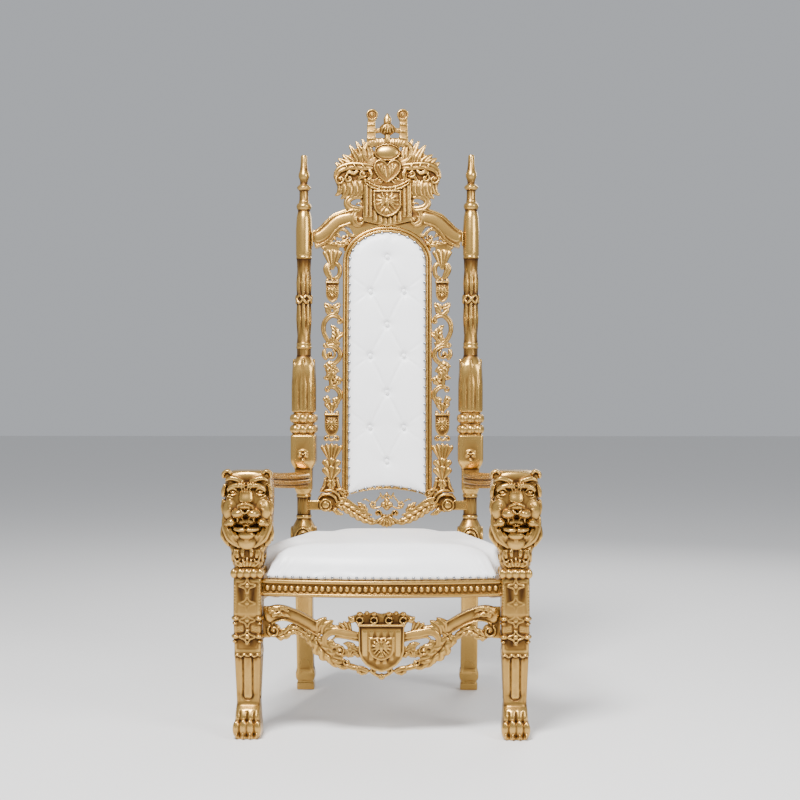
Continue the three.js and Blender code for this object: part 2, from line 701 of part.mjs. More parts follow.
/** The right-hand pierced strip: a column of cups, urns, scrolls and husks on a plinth. */
function piercedStrip() {
  const x = stripCentre;
  const [foot, top] = stripSpan;
  const cup = (z, outer, spread = 34) =>
    spray({ x, z, outer, from: 90 - spread, to: 90 + spread, count: 3, height: 8, valley: 0.88 });
  const urn = (rim) => [
    plate(shieldShape(x, rim - 12, 40, 60), 5, 12),
    spray({ x, z: rim - 20, outer: 24, from: 40, to: 140, count: 3, height: 6 }),
  ];
  const ring = (z, radius, start, turn) => scroll({ x, z, radius, start, turn, width: 16, button: 0 });
  const stem = (high, low, width = 14) =>
    ridge(new THREE.LineCurve3(at(x - 1, low), at(x + 1, high)), 0, taper(width, width), 7, 1);
  const carved = join([
    block(x, 0, top - 5, stripCapWidth, 12, 10),
    cup(826, 60, 28),
    ...ring(810, 20, 100, -270),
    stem(836, 786),
    ...urn(792),
    cup(680, 46, 40),
    branch([[x - 6, 692], [x + 22, 660], [x - 10, 590]], 16, 13, 0, 8, 3),
    leaf(x + 14, 598, x - 22, 664, 26, -0.2),
    leaf(x - 24, 688, x + 8, 640, 24, 0.2),
    ...ring(560, 25, 60, 300),
    stem(590, 458, 10),
    spray({ x, z: 512, outer: 31, from: -150, to: 40, count: 3 }),
    leaf(x - 20, 534, x + 22, 480, 26, -0.15),
    ...ring(440, 26, 130, -300),
    cup(378, 46, 36),
    stem(430, 374),
    ...urn(392),
    spray({ x, z: 342, outer: 42, from: -130, to: -50, count: 3 }),
    stem(320, 200, 18),
    cup(250, 60, 30),
    cup(216, 46, 40),
    ridge(new THREE.LineCurve3(at(x, foot), at(x, 224)), 2, taper(64, 34), 9, 1),
  ]);
  const frameSide = block(0, 0, pivotHeight, 2 * (frameHalfWidth + gap), 200, 3 * pivotHeight);
  const placed = stretched(carved, stripFoot, top, stripTop).translate([0, stripDepth / 2 - 4, 0]);
  return placed.subtract(frameSide);
}

const frameCutter = plate(archShape(-gap), frameDepth + 60, frameDepth + 120, 0, archSteps);
const crestSolid = crestRail();
const lowerRailSolid = lowerRail();
const stripSolid = piercedStrip();

/** One covered button, seated in its dimple. */
function button(x, z) {
  return ball(x, padFront + dimpleDepth - gap - buttonDepth, z, buttonRadius, buttonDepth, buttonRadius, 0);
}

// Seat cushion, notched round the front legs

function seatCushion() {
  const front = frontRailY - railThickness / 2 + cushionInset;
  const shape = new THREE.Shape();
  const inner = legInner - 12;
  const notch = sideRailStart + 14;
  const outer = legSpacing / 2 + railThickness / 2 - cushionInset;
  const rear = postY(seatTop) + 8;
  const rearHalf = postX(seatTop) + 12;
  const rearInner = postX(seatTop) - 38;
  const shoulder = postY(seatTop) - 42;
  shape.moveTo(-inner, front);
  shape.quadraticCurveTo(0, front - 2 * railBow, inner, front);
  const side = [[inner, notch], [outer, notch], [rearHalf, shoulder]];
  side.push([rearInner, shoulder], [rearInner, rear]);
  for (const [x, y] of side) shape.lineTo(x, y);
  for (const [x, y] of side.reverse()) shape.lineTo(-x, y);
  const options = { depth: cushionSide, curveSegments: 5, bevelEnabled: true, bevelSegments: 4 };
  const bevel = { bevelThickness: cushionRise, bevelSize: cushionRound, bevelOffset: -cushionRound };
  const whole = solid(new THREE.ExtrudeGeometry(shape, Object.assign(options, bevel)));
  const under = block(0, postY(seatTop) / 2, -50, 1000, 1000, 100);
  return whole.subtract(under).translate([0, 0, seatTop + gap]);
}

// Materials, as the colours of the finished piece

const gilt = new THREE.MeshStandardMaterial({ color: 0xb8863b, roughness: 0.38, metalness: 0.75 });
const whiteLeather = new THREE.MeshStandardMaterial({ color: 0xf2f2f2, roughness: 0.45, metalness: 0 });

const throne = new THREE.Group();

/** A named piece in a group. */
function add(group, name, shape, material) {
  const mesh = new THREE.Mesh(geometryOf(shape), material);
  mesh.name = name;
  group.add(mesh);
}

/** The same piece on the right and, mirrored, on the left. */
function addPair(group, name, shape, material) {
  add(group, name + "_right", shape, material);
  add(group, name + "_left", mirrored(shape), material);
}

addPair(throne, "front_leg", legSolid.translate([legSpacing / 2, 0, 0]), gilt);
addPair(throne, "back_post", rightPost, gilt);
addPair(throne, "arm", arm(), gilt);
add(throne, "front_rail", frontRail(), gilt);
addPair(throne, "side_rail", sideRail(), gilt);
add(throne, "rear_rail", rearRail, gilt);
add(throne, "front_apron", frontApron(), gilt);
addPair(throne, "side_apron", sideApron(), gilt);
add(throne, "seat_cushion", seatCushion(), whiteLeather);

add(back, "back_frame", backFrame(), gilt);
add(back, "crest_rail", crestSolid, gilt);
add(back, "lower_rail", lowerRailSolid, gilt);
addPair(back, "pierced_strip", stripSolid, gilt);
add(back, "back_pad", backPad(), whiteLeather);
add(back, "back_cover", backCover(), whiteLeather);
buttonPlaces.forEach(([x, z], i) => add(back, "button_" + (i + 1), button(x, z), whiteLeather));
throne.add(back);

const outline = new THREE.Box3().setFromObject(throne, true);
throne.position.y = -(outline.min.y + outline.max.y) / 2;

export default throne;
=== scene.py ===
"""Looks of a tall carved throne: gold-painted carving, white leather, nail heads, floor, light and camera.

Lengths of the carving are millimetres until a piece is finished. On a carved face x runs across,
z runs up and y runs back, so the face looks along -y.
"""

from __future__ import annotations

import logging
import math
from collections.abc import Callable, Sequence
from dataclasses import dataclass
from enum import Enum
from functools import cache
from typing import Protocol

import bmesh
import bpy
import numpy as np
from mathutils import Matrix, Vector


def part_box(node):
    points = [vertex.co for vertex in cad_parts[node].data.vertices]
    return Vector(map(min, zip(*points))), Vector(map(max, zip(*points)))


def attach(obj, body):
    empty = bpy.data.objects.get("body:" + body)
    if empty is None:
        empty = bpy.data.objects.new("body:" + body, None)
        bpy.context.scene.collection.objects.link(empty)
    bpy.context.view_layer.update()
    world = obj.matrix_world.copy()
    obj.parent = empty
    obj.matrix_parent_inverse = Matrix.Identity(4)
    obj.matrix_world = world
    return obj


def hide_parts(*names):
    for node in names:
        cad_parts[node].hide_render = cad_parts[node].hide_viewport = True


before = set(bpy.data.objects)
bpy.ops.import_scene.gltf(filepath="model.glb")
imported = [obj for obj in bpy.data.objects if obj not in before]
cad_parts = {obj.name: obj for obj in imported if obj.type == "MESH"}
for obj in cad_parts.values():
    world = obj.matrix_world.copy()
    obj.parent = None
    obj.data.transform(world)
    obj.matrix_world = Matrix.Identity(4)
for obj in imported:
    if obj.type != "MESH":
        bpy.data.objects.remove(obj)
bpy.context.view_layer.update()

LOG = logging.getLogger("throne")
MM = 0.001
PAINTED_SHADE_DEPTH = 1.2 * MM  # depth under the surface around it at which the painted shade is at its darkest, and height over it for the full painted highlight
LEAN = math.radians(4)
BACK_PLANE = 590.0
PIVOT_HEIGHT = 480.0
LEG_HALF = 356.0
SEAT_TOP = 420.0
CLOTH_FRAMES = 20

Path = Sequence[tuple[float, ...]]
Placement = Callable[[np.ndarray, np.ndarray], np.ndarray]


def front_of_paws() -> float:
    """Returns where the front of the paws lies in the part's frame, in millimetres."""
    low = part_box("front_leg_right")[0][1] / MM
    return low + 44.0


PAW_Y = front_of_paws()
GROUND = Matrix.Translation((0.0, PAW_Y, 0.0))
BACK = GROUND @ Matrix.Translation((0.0, BACK_PLANE, PIVOT_HEIGHT)) @ Matrix.Rotation(-LEAN, 4, "X")


class Slot(Enum):
    """Material slots of the record."""

    GOLD = "gilded_wood"
    LEATHER = "white_leather"
    NAILS = "nail_heads"


class Curve:
    """A smooth curve through points given as (across, up) or (across, up, back)."""

    def __init__(self, points: Path, closed: bool = False) -> None:
        """Samples the curve.

        Args:
            points: The points that it passes through.
            closed: True if it returns to its first point.
        """
        knots = np.array([(p[0], p[2] if len(p) > 2 else 0.0, p[1]) for p in points], dtype=float)
        if closed:
            padded = np.vstack([knots[-1:], knots, knots[:2]])
        else:
            padded = np.vstack([2 * knots[:1] - knots[1:2], knots, 2 * knots[-1:] - knots[-2:-1]])
        t = np.linspace(0.0, 1.0, 10, endpoint=False)[:, None]
        runs = []
        for a, b, c, d in zip(padded[:-3], padded[1:-2], padded[2:-1], padded[3:]):
            cubic = (3 * b - a - 3 * c + d) * t**3
            runs.append(0.5 * (2 * b + (c - a) * t + (2 * a - 5 * b + 4 * c - d) * t**2 + cubic))
        self.line = np.vstack([*runs, padded[-2:-1]])
        steps = np.linalg.norm(np.diff(self.line, axis=0), axis=1) + 1e-9
        self.length = float(steps.sum())
        self.marks = np.concatenate([[0.0], np.cumsum(steps)]) / self.length
        self.slopes = np.gradient(self.line, self.marks, axis=0)

    def spots(self, run: np.ndarray) -> np.ndarray:
        """Returns the points at the given shares of the length."""
        return np.stack([np.interp(run, self.marks, self.line[:, i]) for i in range(3)], axis=1)

    def sides(self, run: np.ndarray) -> np.ndarray:
        """Returns unit vectors across the curve, in the plane of the carving."""
        slope = np.stack([np.interp(run, self.marks, self.slopes[:, i]) for i in (0, 2)], axis=1)
        slope /= np.linalg.norm(slope, axis=1)[:, None] + 1e-9
        return np.stack([slope[:, 1], np.zeros(len(run)), -slope[:, 0]], axis=1)


def spread(values: Sequence[float], run: np.ndarray) -> np.ndarray:
    """Returns values spaced evenly over a run, read at the given shares of it."""
    return np.interp(run, np.linspace(0.0, 1.0, len(values)), values)


class Ball:
    """A ball of rings whose points are moved to draw a body."""

    def __init__(self, around: int, rings: int) -> None:
        """Makes the ball.

        Args:
            around: Points round each ring.
            rings: Steps from end to end.
        """
        mesh = bmesh.new()
        bmesh.ops.create_uvsphere(mesh, u_segments=around, v_segments=rings, radius=1.0)
        self.mesh = bpy.data.meshes.new("ball")
        mesh.to_mesh(self.mesh)
        mesh.free()
        x, y, z = np.array([vert.co for vert in self.mesh.vertices]).T
        self.run = np.arccos(np.clip(z, -1.0, 1.0)) / np.pi
        self.angle = np.arctan2(y, x)


@cache
def ball(around: int, rings: int) -> Ball:
    """Returns the ball with so many points round each ring and so many rings."""
    return Ball(around, rings)


class Carving:
    """A carved piece in the making: closed bodies that overlap and are fused at the end."""

    def __init__(self) -> None:
        """Starts with nothing."""
        self.bodies: list[tuple[bpy.types.Mesh, np.ndarray]] = []
        self.pose = Matrix.Identity(4)

    def body(self, around: int, rings: int, place: Placement) -> None:
        """Adds a closed body, drawn from a ball of rings.

        Args:
            around: Points round each ring.
            rings: Steps from end to end.
            place: Gives the points for the shares of the run and the angles round the rings.
        """
        shape = ball(around, rings)
        self.keep(shape.mesh, place(shape.run, shape.angle))

    def keep(self, mesh: bpy.types.Mesh, spots: np.ndarray) -> None:
        """Keeps a closed body, given as a mesh and the places of its points."""
        turned = spots @ np.array(self.pose.to_3x3()).T + np.array(self.pose.translation)
        self.bodies.append((mesh, turned))

    def add(self, *motifs: Motif) -> None:
        """Carves each motif in turn."""
        for motif in motifs:
            motif.carve(self)

    def mirror(self) -> None:
        """Adds the mirror image of all there is so far."""
        self.bodies += [(mesh, spots * np.array([-1.0, 1.0, 1.0])) for mesh, spots in self.bodies]

    def bend(self, shift: Callable[[np.ndarray], np.ndarray]) -> None:
        """Moves every point by a function of all the points."""
        self.bodies = [(mesh, spots + shift(spots)) for mesh, spots in self.bodies]

    def fused(
        self, name: str, place: Matrix, triangles: int, voxel: float = 1.5, rounds: int = 2
    ) -> bpy.types.Object:
        """Fuses the bodies into one smooth carved piece.

        Args:
            name: Name of the piece.
            place: From the carving to the part's frame, in millimetres.
            triangles: Most triangles that the piece may have.
            voxel: Size of the finest detail, in millimetres.
            rounds: How often the surface is smoothed.

        Returns:
            The finished object, with its relief marked for the painted shade and painted highlight of the
            gold paint.
        """
        mesh = bmesh.new()
        for body, spots in self.bodies:
            body.vertices.foreach_set("co", spots.ravel())
            mesh.from_mesh(body)
        bmesh.ops.transform(mesh, matrix=Matrix.Scale(MM, 4) @ place, verts=mesh.verts)
        bmesh.ops.recalc_face_normals(mesh, faces=mesh.faces)
        rough = bpy.data.meshes.new(name + "_rough")
        mesh.to_mesh(rough)
        mesh.free()
        fuse = bpy.data.objects.new(name + "_rough", rough)
        bpy.context.scene.collection.objects.link(fuse)
        remesh = fuse.modifiers.new("fuse", "REMESH")
        remesh.mode = "VOXEL"
        remesh.voxel_size = voxel * MM
        smooth = fuse.modifiers.new("smooth", "SMOOTH")
        smooth.factor = 0.5
        smooth.iterations = rounds
        fused = baked(fuse, name)
        count = sum(len(face.vertices) - 2 for face in fused.polygons)
        if count > triangles:
            fuse.modifiers.clear()
            fuse.data = fused
            thin = fuse.modifiers.new("thin", "DECIMATE")
            thin.ratio = triangles / count
            fused = baked(fuse, name)
        bpy.data.objects.remove(fuse)
        piece = shown(name, fused)
        # relief for the gold paint's painted shade in the recesses and painted highlight on the crests
        mark_painted_shade_and_highlight(piece.data)
        return piece


class Motif(Protocol):
    """Anything that can be carved."""

    def carve(self, carving: Carving) -> None:
        """Adds its bodies to a carving."""


def baked(item: bpy.types.Object, name: str) -> bpy.types.Mesh:
    """Returns the mesh of an object with its modifiers applied."""
    graph = bpy.context.evaluated_depsgraph_get()
    mesh = bpy.data.meshes.new_from_object(item.evaluated_get(graph), depsgraph=graph)
    mesh.name = name
    return mesh


def shown(name: str, mesh: bpy.types.Mesh, smooth: bool = True) -> bpy.types.Object:
    """Returns a new object at the origin that shows a mesh."""
    if smooth:
        mesh.shade_smooth()
    else:
        mesh.shade_flat()
    mesh.name = name
    item = bpy.data.objects.new(name, mesh)
    bpy.context.scene.collection.objects.link(item)
    return item


def mark_painted_shade_and_highlight(mesh: bpy.types.Mesh, rounds: int = 14) -> None:
    """Writes how far each point lies under or above the surface around it, for painted shade in the recesses
    and a painted highlight on the crests.

    Args:
        mesh: The mesh, which gets a point attribute named relief.
        rounds: How often the surface is averaged, so how wide around is.
    """
    count = len(mesh.vertices)
    spots = np.empty(count * 3)
    mesh.vertices.foreach_get("co", spots)
    spots = spots.reshape(-1, 3)
    normals = np.empty(count * 3)
    mesh.vertex_normals.foreach_get("vector", normals)
    normals = normals.reshape(-1, 3)
    ends = np.empty(len(mesh.edges) * 2, dtype=np.int32)
    mesh.edges.foreach_get("vertices", ends)
    first, second = ends.reshape(-1, 2).T
    links = np.maximum(np.bincount(first, minlength=count) + np.bincount(second, minlength=count), 1)
    mean = spots.copy()
    for _ in range(rounds):
        for axis in range(3):
            column = mean[:, axis]
            total = np.bincount(first, column[second], count) + np.bincount(second, column[first], count)
            mean[:, axis] = 0.4 * column + 0.6 * total / links
    depth = np.einsum("ij,ij->i", spots - mean, normals) / PAINTED_SHADE_DEPTH
    relief = mesh.attributes.new("relief", "FLOAT", "POINT")
    relief.data.foreach_set("value", np.clip(depth, -1.0, 1.0).astype(np.float32))


@dataclass(frozen=True)
class Rib:
    """A raised rib along a curve: round, grooved along its crest, or hollow between rolled edges."""

    points: Path
    widths: tuple[float, ...]
    height: float = 8.0
    base: float = 0.0
    groove: float = 0.0
    hollow: float = 0.0
    depth: float = 7.0
    closed: bool = False

    def carve(self, carving: Carving) -> None:
        """Adds the rib to a carving."""
        curve = Curve(self.points, self.closed)
        widest = max(self.widths)
        blunt = min(0.45, 0.4 * widest / curve.length)

        def place(run: np.ndarray, angle: np.ndarray) -> np.ndarray:
            ease = np.minimum(1.0, np.minimum(run, 1.0 - run) / blunt)
            swell = np.sqrt(np.maximum(0.0, 1.0 - (1.0 - ease) ** 2))
            half = spread(self.widths, run) / 2 * swell
            across = np.cos(angle)
            front, rear = np.maximum(np.sin(angle), 0.0), np.minimum(np.sin(angle), 0.0)
            crown = front**0.75 * (1 - self.groove * np.exp(-((across / 0.26) ** 2)))
            crown *= 1 - self.hollow * np.exp(-((across / 0.62) ** 4))
            rise = self.height * (0.35 + 0.65 * half / (widest / 2))
            spots = curve.spots(run) + curve.sides(run) * (half * across)[:, None]
            spots[:, 1] += self.base - rise * crown * np.minimum(1.0, swell * 1.5) - self.depth * rear
            return spots

        around = 18 if self.groove or self.hollow else 12
        carving.body(around, max(8, int(curve.length / 2.6)), place)


@dataclass(frozen=True)
class Frond:
    """An acanthus leaf along a curve, with fingers that overlap on both sides of its rib."""

    points: Path
    width: float
    lobes: int = 4
    height: float = 9.0
    base: float = 0.0
    slant: float = 0.95
    depth: float = 7.0

    def carve(self, carving: Carving) -> None:
        """Adds the leaf to a carving."""
        curve = Curve(self.points)

        def place(run: np.ndarray, angle: np.ndarray) -> np.ndarray:
            across = np.cos(angle)
            front, rear = np.maximum(np.sin(angle), 0.0), np.minimum(np.sin(angle), 0.0)
            envelope = np.sin(np.pi * (0.1 + 0.9 * run) ** 0.72) ** 0.7 * np.minimum(1.0, run * 12)
            finger = np.abs(np.sin(np.pi * (self.lobes * run - self.slant * np.abs(across))))
            rim = np.abs(np.sin(np.pi * (self.lobes * run - self.slant)))
            half = self.width / 2 * envelope * (0.7 + 0.3 * rim**0.6)
            crown = front**0.5 * (0.62 + 0.38 * finger**0.7) * (1 - 0.45 * np.exp(-((across / 0.13) ** 2)))
            spots = curve.spots(run) + curve.sides(run) * (half * across)[:, None]
            spots[:, 1] += self.base - self.height * crown * (0.4 + 0.6 * envelope) - self.depth * rear
            return spots

        carving.body(28, max(12, int(curve.length / 2.0)), place)


@dataclass(frozen=True)
class Fan:
    """Ribs that spread from a root, as in a shell or a plume. Angles are degrees from the right."""

    x: float
    z: float
    reach: float
    start: float
    end: float
    ribs: int
    height: float = 8.0
    base: float = 0.0
    reach_to: float = 0.0
    cut: float = 0.2
    root: float = 0.1
    depth: float = 7.0

    def carve(self, carving: Carving) -> None:
        """Adds the fan to a carving."""
        last = self.reach_to or self.reach

        def place(run: np.ndarray, angle: np.ndarray) -> np.ndarray:
            rib = np.abs(np.sin(np.pi * self.ribs * run))
            reach = (self.reach + (last - self.reach) * run) * (1 - self.cut * (1 - rib**0.7))
            out = self.root + (1 - self.root) * (np.cos(angle) + 1) / 2
            turn = np.radians(self.start + (self.end - self.start) * run)
            front, rear = np.maximum(np.sin(angle), 0.0), np.minimum(np.sin(angle), 0.0)
            crown = front**0.45 * (0.45 + 0.55 * rib**0.8) * (0.4 + 0.6 * out)
            spots = np.empty((len(run), 3))
            spots[:, 0] = self.x + np.cos(turn) * reach * out
            spots[:, 1] = self.base - self.height * crown - self.depth * rear
            spots[:, 2] = self.z + np.sin(turn) * reach * out
            return spots

        carving.body(18, self.ribs * 9, place)


@dataclass(frozen=True)
class Curl:
    """A rib that winds in to an eye."""

    x: float
    z: float
    radius: float
    start: float
    turn: float
    width: float
    height: float = 8.0
    base: float = 0.0
    eye: float = 0.34

    def carve(self, carving: Carving) -> None:
        """Adds the scroll to a carving."""
        count = max(6, int(abs(self.turn) / 30))
        points = []
        for i in range(count + 1):
            share = i / count
            angle = math.radians(self.start + self.turn * share)
            reach = self.radius * (1 - 0.68 * share)
            points.append((self.x + math.cos(angle) * reach, self.z + math.sin(angle) * reach))
        widths = (self.width * 0.8, self.width, self.width * 0.8, self.width * 0.55)
        eye = self.radius * self.eye
        carving.add(
            Rib(points, widths, self.height, self.base),
            Blob(self.x, self.z, eye, eye, self.height * 1.1, self.base),
        )


@dataclass(frozen=True)
class Blob:
    """A rounded swelling."""

    x: float
    z: float
    rx: float
    rz: float
    ry: float
    base: float = 0.0
    turn: float = 0.0

    def carve(self, carving: Carving) -> None:
        """Adds the swelling to a carving."""
        cos, sin = math.cos(math.radians(self.turn)), math.sin(math.radians(self.turn))

        def place(run: np.ndarray, angle: np.ndarray) -> np.ndarray:
            ring = np.sin(np.pi * run)
            across, up = self.rx * ring * np.cos(angle), self.rz * np.cos(np.pi * run)
            spots = np.empty((len(run), 3))
            spots[:, 0] = self.x + across * cos - up * sin
            spots[:, 1] = self.base - self.ry * ring * np.sin(angle)
            spots[:, 2] = self.z + across * sin + up * cos
            return spots

        fine = 2 if max(self.rx, self.rz) > 14 else 1
        carving.body(14 * fine, 10 * fine, place)


@dataclass(frozen=True)
class Boss:
    """A round turned boss. Its profile gives the height for shares of the radius."""

    x: float
    z: float
    radius: float
    height: float
    base: float = 0.0
    profile: tuple[tuple[float, float], ...] = (
        (0, 1), (0.45, 0.9), (0.6, 0.55), (0.72, 1), (0.9, 0.95), (1, 0.5)
    )
    depth: float = 12.0

    def carve(self, carving: Carving) -> None:
        """Adds the boss to a carving."""
        shares = [share for share, _ in self.profile]
        heights = [height for _, height in self.profile]

        def place(run: np.ndarray, angle: np.ndarray) -> np.ndarray:
            share = np.minimum(1.0, 2 * run)
            behind = np.maximum(0.0, 2 * run - 1)
            reach = self.radius * np.where(run <= 0.5, share, 1 - behind)
            spots = np.empty((len(run), 3))
            spots[:, 0] = self.x + np.cos(angle) * reach
            face = self.base - self.height * np.interp(share, shares, heights)
            spots[:, 1] = np.where(run <= 0.5, face, self.base + self.depth)
            spots[:, 2] = self.z + np.sin(angle) * reach
            return spots

        carving.body(28, 32, place)


@dataclass(frozen=True)
class Slab:
    """A flat plate with an outline, and a raised or sunken field inside a border."""

    outline: Path
    front: float
    back: float
    border: float = 0.0
    sink: float = 0.0

    def carve(self, carving: Carving) -> None:
        """Adds the plate to a carving."""
        mesh = bmesh.new()
        verts = [mesh.verts.new((x, self.back, z)) for x, z in self.outline]
        base = mesh.faces.new(verts)
        made = bmesh.ops.extrude_face_region(mesh, geom=[base], use_keep_orig=True)["geom"]
        lifted = [item for item in made if isinstance(item, bmesh.types.BMVert)]
        face = next(item for item in made if isinstance(item, bmesh.types.BMFace))
        bmesh.ops.translate(mesh, vec=(0.0, self.front - self.back, 0.0), verts=lifted)
        if self.border:
            bmesh.ops.inset_region(mesh, faces=[face], thickness=self.border, use_even_offset=True)
            bmesh.ops.inset_region(mesh, faces=[face], thickness=0.8, use_even_offset=True)
            bmesh.ops.translate(mesh, vec=(0.0, self.sink, 0.0), verts=face.verts)
        plate = bpy.data.meshes.new("plate")
        mesh.to_mesh(plate)
        mesh.free()
        carving.keep(plate, np.array([vert.co for vert in plate.vertices]))


def shield(x: float, top: float, width: float, height: float) -> list[tuple[float, float]]:
    """Returns the outline of a shield with a straight top and a pointed foot."""
    half = width / 2
    side = [(0.0, 1.0), (0.35, 0.95), (0.68, 0.85), (0.9, 0.72), (1.0, 0.55), (1.0, 0.0)]
    right = [(x + half * share, top - height * drop) for share, drop in side]
    return right + [(2 * x - px, pz) for px, pz in reversed(right[1:])]


def eagle(x: float, z: float, size: float, base: float) -> list[Motif]:
    """Returns a spread heraldic bird in low relief."""
    s = size / 60
    parts: list[Motif] = [
        Rib([(x, z - 14 * s), (x, z), (x, z + 14 * s)], (7 * s, 12 * s, 7 * s), 5, base),
        Blob(x, z + 19 * s, 5 * s, 6 * s, 6, base),
        Fan(x, z - 12 * s, 16 * s, -125, -55, 3, 4, base),
    ]
    for side in (-1, 1):
        for i in range(5):
            angle = math.radians(90 - side * (28 + 26 * i))
            tip = (x + math.cos(angle) * 29 * s, z + 2 * s + math.sin(angle) * 27 * s)
            parts.append(Rib([(x + side * 4 * s, z + 4 * s), tip], (5 * s, 7 * s, 3 * s), 4.5, base))
        parts.append(Rib([(x + side * 4 * s, z - 10 * s), (x + side * 17 * s, z - 24 * s)], (4 * s, 5 * s),
                         4, base))
    return parts


def post_x(z: np.ndarray | float) -> np.ndarray | float:
    """Returns how far to the side the post's centre lies at a height."""
    return 253.0 + 0.006 * z


def post_y(z: np.ndarray | float) -> np.ndarray | float:
    """Returns how far back the post's centre lies at a height."""
    rise = np.maximum(0.0, z - PIVOT_HEIGHT) * math.tan(LEAN)
    return BACK_PLANE + 15.0 + rise + 46.0 * np.maximum(0.0, 1.0 - z / PIVOT_HEIGHT) ** 2


@dataclass(frozen=True)
class Column:
    """An upright body through rings of (height, half width, half depth, middle back, squareness)."""

    rows: Sequence[tuple[float, ...]]
    around: int = 72
    step: float = 3.0
    relief: Callable[[np.ndarray, np.ndarray], np.ndarray] | None = None

    def carve(self, carving: Carving) -> None:
        """Adds the body to a carving."""
        rows = np.array(self.rows, dtype=float)
        rings = int((rows[-1, 0] - rows[0, 0]) / self.step)

        def place(run: np.ndarray, angle: np.ndarray) -> np.ndarray:
            share = np.clip((run * rings - 1) / (rings - 2), 0.0, 1.0)
            z = rows[0, 0] + (rows[-1, 0] - rows[0, 0]) * share
            inner = (run > 1e-4) & (run < 1 - 1e-4)
            width, depth, middle, square = (np.interp(z, rows[:, 0], rows[:, i]) for i in (1, 2, 3, 4))
            across, along = np.sin(angle), -np.cos(angle)
            reach = (np.abs(across) ** square + np.abs(along) ** square + 1e-12) ** (-1 / square) * inner
            spots = np.stack([width * reach * across, middle + depth * reach * along, z], axis=1)
            if self.relief is not None:
                spots = spots + self.relief(spots, angle) * inner[:, None]
            return spots

        carving.body(self.around, rings, place)


# Finishes


class Shader:
    """A material in the making."""

    def __init__(self, name: str) -> None:
        """Starts a material with an empty node tree but for its surface shader.

        Args:
            name: Name of the material.
        """
        self.material = bpy.data.materials.new(name)
        self.material.use_nodes = True
        self.tree = self.material.node_tree
        self.surface = self.tree.nodes["Principled BSDF"]

    def node(self, kind: str, **values: object) -> bpy.types.Node:
        """Adds a node and sets its properties and, by their names, its sockets.

        Args:
            kind: The node's type.
            values: Properties of the node, or inputs with underscores for spaces.

        Returns:
            The node.
        """
        made = self.tree.nodes.new(kind)
        for key, value in values.items():
            if hasattr(made, key):
                setattr(made, key, value)
            else:
                made.inputs[key.replace("_", " ")].default_value = value
        return made

    def link(self, start: bpy.types.NodeSocket, end: bpy.types.NodeSocket) -> None:
        """Joins two sockets."""
        self.tree.links.new(start, end)

    def noise(self, scale: float, detail: float = 3.0) -> bpy.types.Node:
        """Returns a noise pattern on the object's own coordinates."""
        made = self.node("ShaderNodeTexNoise", Scale=scale, Detail=detail)
        self.link(self.node("ShaderNodeTexCoord").outputs["Object"], made.inputs["Vector"])
        return made

    def ramp(
        self, source: bpy.types.NodeSocket, stops: Sequence[tuple[float, tuple[float, ...]]]
    ) -> bpy.types.Node:
        """Returns a ramp from places to colours, fed by a socket."""
        made = self.node("ShaderNodeValToRGB")
        while len(made.color_ramp.elements) < len(stops):
            made.color_ramp.elements.new(0.5)
        for element, (place, colour) in zip(made.color_ramp.elements, stops):
            element.position = place
            element.color = (*colour, 1.0)
        self.link(source, made.inputs["Fac"])
        return made


@dataclass(frozen=True)
class GoldPaint:
    """Antique gold paint with painted light: a painted highlight on the crests and dark brown painted shade
    in the recesses.
    """

    # colours from the painted shade of the deepest recesses through the gold itself to the painted highlight
    # on the crests
    deepest_painted_shade: tuple[float, float, float] = (0.050, 0.019, 0.004)
    painted_shade: tuple[float, float, float] = (0.145, 0.068, 0.014)
    body: tuple[float, float, float] = (0.33, 0.182, 0.045)
    painted_highlight: tuple[float, float, float] = (0.54, 0.325, 0.088)
    mottle: float = 0.45
    darkest: float = -0.75
    brightest: float = 1.05
    metallic: float = 0.88

    def material(self) -> bpy.types.Material:
        """Returns the paint as a material."""
        shader = Shader("gold_paint_with_painted_shade")
        # the relief attribute places the painted shade in the recesses and the painted highlight on the
        # crests
        relief = shader.node("ShaderNodeAttribute", attribute_name="relief")
        mottle = shader.noise(38.0, 4.0)
        mixed = shader.node("ShaderNodeMath", operation="MULTIPLY_ADD")
        mixed.inputs[1].default_value = self.mottle
        shader.link(mottle.outputs["Fac"], mixed.inputs[0])
        shader.link(relief.outputs["Fac"], mixed.inputs[2])
        level = shader.node("ShaderNodeMapRange")
        level.inputs["From Min"].default_value = self.darkest
        level.inputs["From Max"].default_value = self.brightest
        shader.link(mixed.outputs[0], level.inputs["Value"])
        stops = ((0.0, self.deepest_painted_shade), (0.26, self.painted_shade), (0.5, self.body), (1.0, self.painted_highlight))
        colour = shader.ramp(level.outputs["Result"], stops)
        shader.link(colour.outputs["Color"], shader.surface.inputs["Base Color"])
        shader.surface.inputs["Metallic"].default_value = self.metallic
        gloss = shader.ramp(level.outputs["Result"],
                            ((0.0, (0.6,) * 3), (0.45, (0.34,) * 3), (1.0, (0.24,) * 3)))
        shader.link(gloss.outputs["Color"], shader.surface.inputs["Roughness"])
        bump = shader.node("ShaderNodeBump", Strength=0.12, Distance=0.0012)
        shader.link(shader.noise(420.0, 5.0).outputs["Fac"], bump.inputs["Height"])
        shader.link(bump.outputs["Normal"], shader.surface.inputs["Normal"])
        return shader.material


